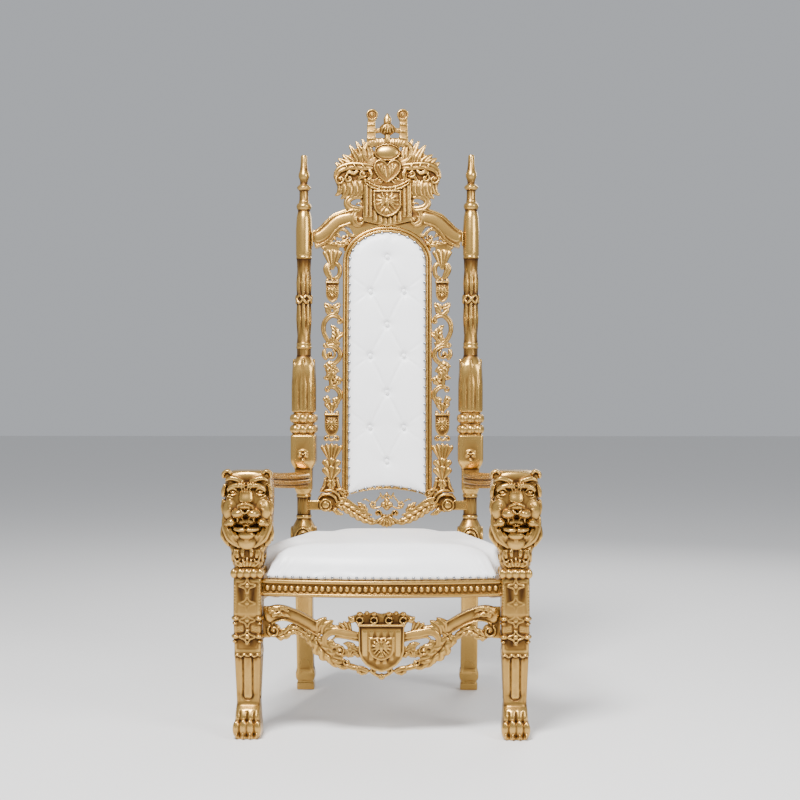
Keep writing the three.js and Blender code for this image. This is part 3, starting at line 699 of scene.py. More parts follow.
@dataclass(frozen=True)
class WhiteLeather:
    """Smooth white artificial leather with a fine grain and a soft sheen."""

    light: tuple[float, float, float] = (0.95, 0.95, 0.955)
    dark: tuple[float, float, float] = (0.91, 0.912, 0.92)
    roughness: float = 0.42
    coat: float = 0.12

    def material(self) -> bpy.types.Material:
        """Returns the leather as a material."""
        shader = Shader("white_artificial_leather")
        colour = shader.ramp(shader.noise(9.0, 2.0).outputs["Fac"], ((0.3, self.dark), (0.7, self.light)))
        shader.link(colour.outputs["Color"], shader.surface.inputs["Base Color"])
        shader.surface.inputs["Roughness"].default_value = self.roughness
        shader.surface.inputs["Coat Weight"].default_value = self.coat
        shader.surface.inputs["Coat Roughness"].default_value = 0.3
        grain = shader.node("ShaderNodeTexVoronoi", Scale=620.0)
        shader.link(shader.node("ShaderNodeTexCoord").outputs["Object"], grain.inputs["Vector"])
        bump = shader.node("ShaderNodeBump", Strength=0.1, Distance=0.0006)
        shader.link(grain.outputs["Distance"], bump.inputs["Height"])
        shader.link(bump.outputs["Normal"], shader.surface.inputs["Normal"])
        return shader.material


@dataclass(frozen=True)
class Nickel:
    """Polished nickel of the upholstery nails."""

    colour: tuple[float, float, float] = (0.42, 0.43, 0.45)
    roughness: float = 0.22

    def material(self) -> bpy.types.Material:
        """Returns the metal as a material."""
        shader = Shader("nickel_nail_heads")
        tint = tuple(0.8 * part for part in self.colour)
        ramp = shader.ramp(shader.noise(90.0).outputs["Fac"], ((0.3, tint), (0.7, self.colour)))
        shader.link(ramp.outputs["Color"], shader.surface.inputs["Base Color"])
        shader.surface.inputs["Metallic"].default_value = 1.0
        shader.surface.inputs["Roughness"].default_value = self.roughness
        return shader.material


class Workshop:
    """Dresses finished pieces and fixes them to the part."""

    def __init__(self) -> None:
        """Makes the finishes."""
        self.finishes = {
            Slot.GOLD: GoldPaint().material(),
            Slot.LEATHER: WhiteLeather().material(),
            Slot.NAILS: Nickel().material(),
        }

    def fit(self, piece: bpy.types.Object, slot: Slot, *nodes: str) -> bpy.types.Object:
        """Gives a piece its finish and its place on the part.

        Args:
            piece: The finished piece.
            slot: The finish.
            nodes: Nodes of the part that it stands for.

        Returns:
            The same piece.
        """
        piece.data.materials.clear()
        piece.data.materials.append(self.finishes[slot])
        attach(piece, "root")
        if nodes:
            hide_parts(*nodes)
        faces = sum(len(face.vertices) - 2 for face in piece.data.polygons)
        LOG.info("%s: %d triangles", piece.name, faces)
        return piece

    def fit_pair(self, piece: bpy.types.Object, slot: Slot, node: str) -> None:
        """Fits a right-hand piece and its mirror image.

        Args:
            piece: The right-hand piece.
            slot: The finish.
            node: Name of the nodes without _right or _left.
        """
        left = piece.data.copy()
        left.transform(Matrix.Scale(-1.0, 4, Vector((1.0, 0.0, 0.0))))
        left.flip_normals()
        self.fit(piece, slot, node + "_right")
        self.fit(shown(piece.name.replace("_right", "_left"), left), slot, node + "_left")


# Carved pieces


@dataclass(frozen=True)
class CrestRail:
    """The crest rail: a crowned shield on a draped mantle, between plumes and swan-neck shoulders."""

    frame_half: float = 139.3
    frame_spring: float = 849.0
    frame_rise: float = 113.3
    thickness_back: float = 26.0
    triangles: int = 125000

    def shoulder(self) -> list[tuple[float, float]]:
        """Returns the outline of the right-hand shoulder, which sits on the arch of the frame."""
        arch = []
        for degrees in (90, 80, 70, 60, 50, 44):
            angle = math.radians(degrees)
            arch.append((self.frame_half * math.cos(angle),
                         self.frame_spring + self.frame_rise * math.sin(angle)))
        under = Curve([arch[-1], (122, 962), (146, 952), (164, 936), (184, 912), (206, 899), (234, 892)])
        over = Curve([(234, 947), (220, 953), (206, 966), (176, 996), (150, 1009), (98, 1026)])
        lower = [(x, z) for x, _, z in under.line[1::4]]
        upper = [(x, z) for x, _, z in over.line[::4]]
        return arch + lower + upper + [(0.0, 1030.0)]

    def shoulders(self) -> list[Motif]:
        """Returns the shoulder, its rim and the ornament in the spandrel below it."""
        rim = [(226, 941), (206, 958), (176, 986), (150, 1000), (104, 1014)]
        foot = [(226, 899), (204, 906), (184, 920), (164, 944), (146, 960), (112, 972)]
        return [
            Slab(self.shoulder(), -3.0, self.thickness_back),
            Rib([(104, 990), (150, 978), (182, 950), (206, 931), (228, 921)], (30, 34, 34, 32, 30), 6, -2,
                hollow=0.15),
            Rib(rim, (4, 4), 4, -3),
            Rib(foot, (4, 4), 4, -3),
            Rib([(234, 897), (234, 944)], (5, 5), 4, -3),
            Rib([(98, 930), (116, 934), (132, 950), (150, 950), (156, 936), (146, 926)],
                (10, 11, 11, 10, 9, 7), 9, 4, 0.3),
            Curl(134, 926, 11, 120, 420, 7, 8, 4),
            Frond([(120, 916), (140, 906), (160, 908), (178, 902)], 24, 4, 9, 4),
            Rib([(150, 940), (166, 930), (180, 914), (198, 900)], (8, 12, 12, 8), 8, 6, 0.3),
            Curl(178, 914, 10, 40, -380, 6, 8, 6),
            Blob(164, 922, 5, 5, 8, 4),
            Blob(152, 934, 4, 4, 8, 2),
            Frond([(204, 902), (190, 888), (172, 884)], 16, 3, 7, 6),
            Slab([(152, 878), (190, 878), (196, 904), (148, 904)], 0.0, 16.0),
            Rib([(100, 938), (122, 912), (136, 884)], (8, 9, 6), 6, 8),
        ]

    def plumes(self) -> list[Motif]:
        """Returns the feathers, the boughs and the mantling on the right."""
        feathers = [
            [(54, 1160), (53, 1196), (64, 1229)],
            [(62, 1158), (64, 1198), (80, 1240)],
            [(72, 1156), (80, 1194), (100, 1233)],
            [(84, 1154), (98, 1186), (121, 1221)],
            [(100, 1150), (118, 1172), (143, 1189)],
            [(110, 1148), (132, 1162), (156, 1178)],
            [(118, 1144), (144, 1150), (165, 1165)],
        ]
        fingers = [
            ([(152, 1116), (146, 1090), (151, 1068), (165, 1058)], 24),
            ([(136, 1112), (128, 1086), (132, 1062), (147, 1047)], 29),
            ([(118, 1110), (109, 1084), (111, 1060), (126, 1042)], 29),
            ([(99, 1110), (91, 1086), (92, 1064), (105, 1047)], 26),
            ([(82, 1108), (76, 1086), (78, 1068), (88, 1055)], 20),
        ]
        back = [(40, 1160), (62, 1214), (100, 1206), (140, 1168), (160, 1142), (162, 1100), (146, 1066),
                (96, 1056), (66, 1066)]
        ridge = [(28, 1146), (70, 1150), (118, 1152), (152, 1138), (164, 1108)]
        return [
            Slab(back, 0.0, 24.0),
            *(Rib(points, (14, 25, 19, 5), 10, 3, 0.4) for points in feathers),
            *(Rib(points, (18, width, width * 0.8, 5), 10, 1, 0.4) for points, width in fingers),
            Rib(ridge, (16, 27, 28, 25, 14), 9, -1, 0.4),
            *(
                Rib([(x, z), (x + 10, z + 9), (x + 14, z + 20)], (5, 8, 3), 11, -1)
                for x, z in ((66, 1142), (92, 1142), (118, 1140))
            ),
            Curl(147, 1108, 15, 60, -430, 9, 9, -3),
            Curl(120, 1112, 13, 80, -400, 9, 8, -2),
            Curl(76, 1126, 12, 200, 420, 8, 8, -2),
            Rib([(90, 1138), (104, 1128), (118, 1132), (132, 1126)], (8, 13, 13, 7), 8, -2, 0.3),
            Rib([(57, 1142), (50, 1122), (60, 1106), (74, 1100)], (9, 13, 13, 8), 8, -3, 0.3),
            Rib([(70, 1114), (84, 1116), (92, 1104)], (9, 13, 8), 8, -2, 0.3),
            Rib([(58, 1226), (72, 1210), (73, 1186), (60, 1168), (40, 1160)], (10, 14, 14, 12, 9), 8, 0, 0.3),
            Rib([(36, 1222), (54, 1224), (66, 1228)], (10, 12, 10), 8, 2),
        ]

    def brackets(self) -> list[Motif]:
        """Returns the looped bracket and the folded lobe beside the mantle."""
        loop = [(76, 1054), (100, 1056), (120, 1047), (125, 1032), (112, 1018), (82, 1014)]
        return [
            Rib(loop, (14, 19, 22, 25, 25, 18), 8, 1, 0.3),
            Blob(112, 1020, 14, 10, 8, 3, -20),
            Rib([(80, 1034), (92, 1035), (100, 1030)], (7, 7, 4), 6, 6),
            Rib([(96, 1014), (106, 992), (100, 970), (78, 962)], (14, 20, 20, 12), 8, 1, 0.3),
            Curl(84, 980, 15, 60, -400, 9, 8, 0),
            Slab([(66, 1012), (98, 1012), (100, 974), (66, 966)], 2.0, 22.0),
            Slab([(66, 1064), (84, 1064), (84, 1010), (66, 1010)], 2.0, 22.0),
        ]

    def crown(self) -> list[Motif]:
        """Returns half of the crown: its pillar with a disc, its bands and its petals."""
        rings = [Rib([(37, z), (65, z - 2)], (9, 9), 12, 3) for z in (1240, 1262, 1284)]
        petals = [Rib([(x * 0.75, 1212), (x, 1243)], (16, 21, 6), 8, 0, 0.3) for x in (18, 37, 56)]
        return [
            Slab([(37, 1216), (66, 1216), (62, 1300), (38, 1300)], -6.0, 12.0),
            *rings,
            *petals,
            Boss(48, 1314, 18.5, 9, -2, ((0, 1.1), (0.2, 0.9), (0.3, 0.5), (0.7, 0.55), (0.8, 1), (1, 0.6))),
            Rib([(-2, 1230), (22, 1232), (46, 1228), (66, 1222)], (18, 20, 20, 14), 8, 3),
            Rib([(0, 1264), (22, 1266), (46, 1262)], (18, 15, 16), 8, 2, 0.2),
            Rib([(20, 1254), (15, 1268), (5, 1284)], (4, 6, 4), 6, -9),
            Rib([(9, 1252), (7, 1268), (2, 1286)], (4, 6, 4), 6, -10),
            Blob(47, 1299, 12, 5, 9, 2),
        ]

    def mantle(self) -> list[Motif]:
        """Returns the right-hand pleats of the mantle."""
        pleats = [Rib([(x, 1090), (x + 1, 988)], (9, 11, 10), 5, -8) for x in (52, 65)]
        foot = [(7, 963, 1004), (22, 968, 1002), (38, 973, 1010)]
        hems = [Rib([(x, low), (x, high)], (14, 13, 10), 5, -8) for x, low, high in foot]
        heart = [(0, 1149), (9, 1162), (24, 1167), (38, 1158), (39, 1140), (26, 1118), (0, 1097)]
        return [
            *pleats,
            *hems,
            Rib(heart, (6, 7, 7, 6), 7, -8),
            Slab([(0, 1149), (10, 1161), (24, 1165), (36, 1156), (38, 1140), (26, 1118), (0, 1098)],
                 -12.0, 4.0),
            *(
                Rib([(x, top), (x * 0.5, low)], (5, 6, 3), 4, -11)
                for x, top, low in ((8, 1150, 1112), (18, 1156, 1118), (28, 1154, 1124))
            ),
            Rib([(14, 1104), (26, 1092)], (4, 9, 3), 8, -6),
            Rib([(27, 1114), (42, 1102)], (4, 10, 3), 8, -6),
            Rib([(44, 1128), (56, 1116)], (4, 9, 3), 8, -5),
            Blob(68, 1104, 8, 7, 10, -6),
            Blob(9, 1077, 4, 5, 6, -12),
            Blob(26, 1077, 4, 5, 6, -12),
        ]

    def middle(self) -> list[Motif]:
        """Returns the shield, the swags, the oval and the finial."""
        mantle = [(0, 960), (71, 976), (76, 990), (73, 1108), (-73, 1108), (-76, 990), (-71, 976)]
        helm = [(-62, 1090), (62, 1090), (60, 1170), (38, 1180), (38, 1222), (-38, 1222), (-38, 1180),
                (-60, 1170)]
        swags = [
            Rib([(-70, 1106 - d), (-38, 1088 - d), (0, 1080 - d), (38, 1088 - d), (70, 1106 - d)],
                (5, 8, 10, 8, 5), 9, -9)
            for d in (0, 10)
        ]
        rim = [(39 * math.cos(a), 1194 + 25 * math.sin(a)) for a in np.radians(range(0, 360, 30))]
        return [
            Slab(mantle, -9.0, 20.0),
            Slab(helm, -5.0, 18.0),
            *swags,
            Slab(shield(0, 1071, 86, 84), -19.0, 5.0, 4.5, 2.4),
            *eagle(0, 1032, 74, -16),
            Blob(0, 1194, 36, 22, 8, -4),
            Rib(rim, (5, 5), 9, -3, closed=True),
            Blob(0, 1269, 26, 20, 14, 1),
            Rib([(0, 1252), (0, 1284)], (6, 5), 5, -12),
            Blob(0, 1290, 13, 4, 11, 1),
            Rib([(0, 1284), (0, 1302), (0, 1322)], (22, 26, 4), 9, 2),
            Rib([(0, 1226), (0, 1258)], (22, 18), 9, 1),
            Fan(0, 1214, 22, 55, 125, 3, 7, 0),
        ]

    def build(self) -> bpy.types.Object:
        """Returns the finished crest rail."""
        carving = Carving()
        carving.add(*self.shoulders(), *self.plumes(), *self.brackets(), *self.crown(), *self.mantle())
        carving.mirror()
        carving.add(*self.middle())
        return carving.fused("carved_crest_rail", BACK, self.triangles)


@dataclass(frozen=True)
class LowerRail:
    """The lower rail of the back: swags of leaves between two bosses and a shell."""

    triangles: int = 55000

    def half(self) -> list[Motif]:
        """Returns the right-hand half."""
        return [
            Slab([(200, 79), (248, 79), (248, 108), (200, 108)], -3.0, 14.0),
            Boss(188, 94, 21, 15, 4),
            Slab([(140, 128), (146, 86), (176, 72), (204, 80), (210, 118), (204, 130)], 2.0, 14.0),
            Rib([(152, 100), (160, 118), (178, 127), (200, 124), (213, 110)], (7, 9, 10, 9, 6), 9, 1),
            Rib([(140, 104), (150, 126), (172, 139), (196, 138)], (7, 9, 10, 7), 8, 2),
            Rib([(130, 112), (142, 134), (160, 146)], (7, 9, 7), 8, 3),
            Rib([(158, 140), (140, 142), (126, 134)], (8, 10, 9), 10, 0),
            Curl(127, 128, 11, 90, 420, 6, 10, 0),
            Frond([(160, 96), (130, 92), (98, 72), (66, 52), (36, 42), (10, 50)], 40, 8, 11, 2, 0.7),
            Rib([(150, 116), (124, 110), (98, 92), (72, 74), (44, 62)], (8, 10, 10, 9, 6), 9, 1, 0.3),
            Frond([(62, 70), (72, 88), (92, 104)], 20, 3, 9, 2),
            Frond([(166, 84), (150, 70), (132, 64)], 18, 3, 8, 3),
            Curl(27, 68, 12, 230, -430, 6, 10, 0),
            Rib([(52, 88), (36, 84), (16, 90)], (5, 6, 5), 6, 4),
            *(
                Blob(43 + 7 * math.cos(a), 96 + 7 * math.sin(a), 5, 5, 6, 3)
                for a in np.radians(range(0, 360, 72))
            ),
            Rib([(38, 102), (28, 112), (20, 124)], (5, 6, 5), 6, 5),
            Rib([(0, 112), (14, 120), (22, 134)], (5, 6, 5), 6, 5),
            Rib([(52, 104), (66, 112), (76, 108)], (5, 6, 4), 6, 4),
            Slab([(146, 120), (196, 120), (202, 131), (142, 131)], 0.0, 14.0),
        ]

    def middle(self) -> list[Motif]:
        """Returns the flower, the rosette and the shell."""
        petals = [(0, 106), (10, 96), (0, 86), (-10, 96)]
        return [
            *(Blob(x, z, 9, 9, 8, 2) for x, z in petals),
            Blob(0, 96, 5, 5, 10, 1),
            Rib([(-14, 92), (0, 80), (14, 92)], (5, 7, 5), 6, 4),
            Rib([(-18, 112), (0, 127), (18, 112)], (5, 6, 5), 6, 5),
            Rib([(0, 108), (0, 136)], (5, 5), 6, 6),
            Blob(0, 60, 6, 5, 11, 0),
            Rib([(-30, 70), (0, 62), (30, 70)], (7, 8, 7), 7, 4),
            Fan(0, 64, 39, -158, -22, 7, 10, -1, cut=0.12),
        ]

    def build(self) -> bpy.types.Object:
        """Returns the finished lower rail."""
        carving = Carving()
        carving.add(*self.half())
        carving.mirror()
        carving.add(*self.middle())
        return carving.fused("carved_lower_rail", BACK, self.triangles)


@dataclass(frozen=True)
class PiercedStrip:
    """One pierced strip beside the frame: cups, shields, scrolls and husks on a plinth."""

    centre: float = 171.0
    triangles: int = 45000

    def motifs(self) -> list[Motif]:
        """Returns the column from its top to its plinth, drawn for the right-hand side."""
        x, y = self.centre, 4.0
        return [
            Slab([(x - 18, 880), (x + 18, 880), (x + 18, 889), (x - 18, 889)], y - 4, y + 8),
            Fan(x, 818, 72, 62, 118, 4, 9, y, cut=0.06),
            Rib([(x - 12, 848), (x - 23, 830), (x - 20, 806), (x - 4, 795)], (15, 16, 15, 15), 9, y),
            Rib([(x + 14, 848), (x + 18, 826), (x + 10, 806), (x, 795)], (12, 23, 21, 12), 9, y, 0.2),
            *self.crowned_shield(784, 40, 62),
            Frond([(x, 706), (x + 12, 708), (x + 25, 722)], 26, 2, 8, y),
            Frond([(x, 706), (x - 12, 708), (x - 25, 722)], 26, 2, 8, y),
            Rib([(x - 16, 708), (x - 14, 694), (x, 684)], (12, 16, 13), 8, y),
            Rib([(x + 16, 708), (x + 14, 694), (x, 684)], (12, 16, 13), 8, y),
            Rib([(x - 29, 660), (x - 18, 677), (x + 4, 681), (x + 24, 660), (x + 26, 630), (x + 12, 602),
                 (x - 4, 592)], (11, 16, 17, 16, 15, 15, 12), 9, y, 0.3),
            Curl(x - 22, 664, 10, 120, 330, 7, 9, y),
            Frond([(x - 2, 596), (x - 12, 616), (x - 8, 638), (x + 6, 652)], 32, 4, 9, y),
            Frond([(x - 12, 614), (x - 24, 620), (x - 30, 632)], 23, 2, 8, y),
            Frond([(x + 4, 600), (x - 14, 592), (x - 26, 598)], 24, 2, 8, y),
            Frond([(x + 4, 596), (x + 20, 588), (x + 26, 596)], 24, 2, 8, y),
            Rib([(x + 20, 584), (x + 2, 586), (x - 20, 574), (x - 24, 552), (x - 10, 534), (x + 6, 530)],
                (12, 16, 16, 16, 15, 12), 9, y, 0.3),
            Curl(x + 4, 560, 15, 110, 400, 9, 9, y),
            Rib([(x + 22, 578), (x + 25, 560), (x + 16, 542)], (11, 16, 12), 8, y),
            Frond([(x + 18, 536), (x + 4, 520), (x - 24, 506)], 36, 4, 9, y),
            Frond([(x + 10, 520), (x + 6, 504), (x - 10, 492)], 28, 3, 9, y),
            Frond([(x - 8, 512), (x + 10, 490), (x + 28, 486)], 29, 3, 9, y),
            Frond([(x - 24, 492), (x - 14, 474), (x - 2, 462)], 31, 3, 9, y),
            Rib([(x + 4, 506), (x + 4, 480), (x, 456)], (13, 13, 15), 8, y),
            Rib([(x + 14, 458), (x - 8, 458), (x - 24, 442), (x - 24, 424), (x - 12, 410)],
                (12, 16, 17, 16, 12), 9, y, 0.3),
            Curl(x + 12, 450, 10, 90, -330, 7, 9, y),
            Frond([(x + 22, 430), (x + 14, 414), (x + 22, 398)], 24, 3, 8, y),
            Frond([(x - 8, 428), (x - 14, 410), (x - 4, 396)], 24, 3, 8, y),
            Fan(x, 376, 34, 46, 134, 3, 9, y, cut=0.2),
            *self.crowned_shield(372, 44, 68),
            Curl(x + 15, 298, 10, 150, -400, 6, 8, y),
            Curl(x - 15, 298, 10, 30, 400, 6, 8, y),
            Rib([(x - 12, 302), (x, 294), (x + 12, 302)], (9, 10, 9), 7, y),
            Fan(x, 214, 72, 58, 122, 5, 9, y, cut=0.12),
            Fan(x, 192, 48, 44, 136, 3, 9, y - 1, cut=0.16),
            Fan(x, 166, 50, 46, 134, 3, 9, y - 2, cut=0.16),
            Slab([(x - 36, 133), (x + 38, 133), (x + 27, 150), (x + 22, 180), (x - 22, 180), (x - 26, 150)],
                 y - 2, y + 10),
            Frond([(x, 176), (x, 150), (x, 134)], 29, 3, 7, y - 1),
            Rib([(x - 18, 174), (x - 24, 150), (x - 34, 137)], (9, 11, 7), 7, y - 1),
            Rib([(x + 18, 174), (x + 24, 150), (x + 34, 137)], (9, 11, 7), 7, y - 1),
        ]

    def crowned_shield(self, top: float, width: float, height: float) -> list[Motif]:
        """Returns a small shield under a crown.

        Args:
            top: Height of the shield's straight edge.
            width: Width of the shield.
            height: Height of the shield.

        Returns:
            Its motifs.
        """
        x, y = self.centre, 4.0
        merlons = [
            Rib([(x + side * width * 0.34, top), (x + side * width * 0.42, top + 15)], (9, 12, 7), 9, y)
            for side in (-1, 0, 1)
        ]
        return [
            Slab(shield(x, top, width, height), y - 6, y + 8, 3.0, 1.0),
            *eagle(x, top - height * 0.42, width * 0.95, y - 5),
            Rib([(x - width / 2 - 3, top + 1), (x + width / 2 + 3, top + 1)], (8, 8), 8, y - 3),
            *merlons,
        ]

    def build(self) -> bpy.types.Object:
        """Returns the right-hand strip."""
        carving = Carving()
        carving.add(*self.motifs())
        return carving.fused("carved_strip_right", BACK, self.triangles, 1.3, 1)


@dataclass(frozen=True)
class FrontApron:
    """The pierced front apron: a crowned shield between scrolled boughs."""

    plane: float = 44.0
    reach: float = 317.0
    shield_top: float = 296.0
    triangles: int = 92000

    def bough(self) -> list[Motif]:
        """Returns the right-hand bough from the leg to the shield."""
        fingers = [
            [(170, 276), (166, 298), (146, 317)],
            [(158, 270), (150, 292), (128, 309)],
            [(146, 268), (136, 284), (116, 292)],
        ]
        masses = [
            ([(178, 264), (158, 232), (128, 208), (96, 198)], 54, 5, 11),
            ([(152, 250), (126, 232), (104, 222), (80, 226)], 38, 3, 10),
            ([(190, 240), (180, 262), (160, 284)], 34, 4, 9),
        ]
        return [
            Slab([(298, 262), (self.reach, 262), (self.reach, 345), (292, 345), (284, 322)], -4.0, 12.0),
            Rib([(312, 338), (298, 326), (294, 306)], (9, 12, 8), 9, -2, 0.3),
            Curl(288, 281, 17, 60, -450, 9, 11, -1),
            Boss(288, 281, 19, 8, 2, ((0, 1), (0.4, 0.9), (0.5, 0.5), (0.8, 0.6), (1, 0.4)), 9),
            Rib([(316, 316), (276, 330), (234, 320), (198, 302), (164, 282)], (46, 42, 38, 36, 28), 15, 3,
                hollow=0.12),
            Rib([(306, 342), (270, 347), (232, 336), (196, 318), (168, 302)], (5, 6, 6, 6, 4), 12, 0),
            Rib([(296, 300), (266, 310), (232, 302), (200, 286), (170, 268)], (5, 6, 6, 6, 4), 12, 0),
            Frond([(306, 330), (284, 340), (262, 340), (246, 332)], 18, 4, 9, -6),
            Frond([(296, 322), (270, 326), (244, 318)], 14, 3, 8, -8),
            *(Rib(points, (12, 28, 7), 12, 1, 0.3) for points in fingers),
            Fan(76, 264, 68, 10, 82, 5, 10, 1, 42, 0.18),
            Rib([(44, 262), (62, 268), (98, 275), (130, 279), (150, 266), (151, 246), (138, 236),
                 (124, 242)], (14, 20, 23, 22, 18, 14, 9), 12, -2, hollow=0.3),
            Rib([(48, 252), (70, 257), (96, 262), (122, 264), (134, 252)], (7, 8, 8, 5), 9, 0),
            *(Frond(points, width, lobes, height, 1) for points, width, lobes, height in masses),
            Frond([(284, 262), (262, 270), (236, 284), (206, 270), (186, 244)], 32, 6, 10, 1),
            Curl(262, 266, 9, 60, 380, 5, 8, 1),
            Curl(92, 197, 10, 60, -420, 6, 9, 0),
            Curl(112, 228, 13, 100, 400, 6, 9, -1),
            Frond([(88, 212), (84, 230), (92, 248)], 16, 3, 8, 1),
            Frond([(96, 214), (76, 216), (64, 224)], 13, 3, 8, 2),
            Rib([(96, 188), (76, 182), (54, 180), (34, 172)], (12, 14, 15, 12), 9, 1, 0.3),
            Blob(66, 184, 5, 5, 9, 0),
            Frond([(66, 178), (50, 170), (34, 170)], 20, 3, 8, 2),
            Frond([(150, 222), (120, 196), (88, 186), (62, 186)], 32, 4, 9, 3),
            Frond([(72, 232), (84, 244), (104, 246)], 18, 2, 8, 2),
            Frond([(54, 210), (70, 230), (94, 238)], 24, 3, 8, 2),
            Curl(20, 176, 9, 100, -400, 6, 9, -1),
            Rib([(34, 176), (16, 164), (-2, 158)], (8, 9, 9), 9, 1),
        ]

    def crown(self) -> list[Motif]:
        """Returns half of the crown over the shield."""
        top = self.shield_top
        eyes = []
        for x in (20, 58):
            ring = [(x + 9 * math.cos(a), top + 15 + 8 * math.sin(a)) for a in np.radians(range(0, 360, 45))]
            eyes += [Rib(ring, (5, 5), 8, -10, closed=True), Blob(x, top + 31, 9, 6, 9, -6)]
        return [*eyes, Rib([(72, top + 8), (90, top + 24)], (14, 18, 5), 9, -5, 0.2),
                Blob(39, top + 33, 7, 6, 9, -6)]

    def middle(self) -> list[Motif]:
        """Returns the shield with its stripes and the small shield on it."""
        top = self.shield_top
        crown = [(-62, top), (62, top), (84, top + 22), (64, top + 29), (20, top + 33), (0, top + 30)]
        crown += [(-20, top + 33), (-64, top + 29), (-84, top + 22)]
        stripes = [
            Rib([(x, top - 12), (x, top - 108 + abs(x) * 0.6)], (14, 14), 4, -11)
            for x in (-44, -26, -9, 9, 26, 44)
        ]
        return [
            Slab(crown, -9.0, 10.0),
            Slab(shield(0, top + 2, 122, 126), -14.0, 8.0, 5.5, 0.6),
            Rib([(-66, top + 1), (66, top + 1)], (8, 8), 9, -9),
            *stripes,
            Slab(shield(0, top - 32, 66, 60), -17.0, 0.0, 3.0, 0.4),
            *eagle(0, top - 58, 54, -17),
            Blob(0, 156, 9, 6, 10, 0),
            Rib([(0, 168), (0, 154)], (8, 10), 8, 0),
        ]

    def build(self) -> bpy.types.Object:
        """Returns the finished apron."""
        carving = Carving()
        carving.add(*self.bough(), *self.crown())
        carving.mirror()
        carving.add(*self.middle())
        place = GROUND @ Matrix.Translation((0.0, self.plane, 0.0))
        return carving.fused("carved_front_apron", place, self.triangles)


def turned_face(quarter: float, out: float = 0.0) -> Matrix:
    """Returns a pose that turns the carved face about the upright axis.

    Args:
        quarter: Quarter turns; 0 looks to the front and 1 to the right.
        out: How far the face lies from the axis, in millimetres.

    Returns:
        The pose.
    """
    turn = Matrix.Rotation(quarter * math.pi / 2, 4, "Z")
    return turn @ Matrix.Translation((0.0, -out, 0.0))


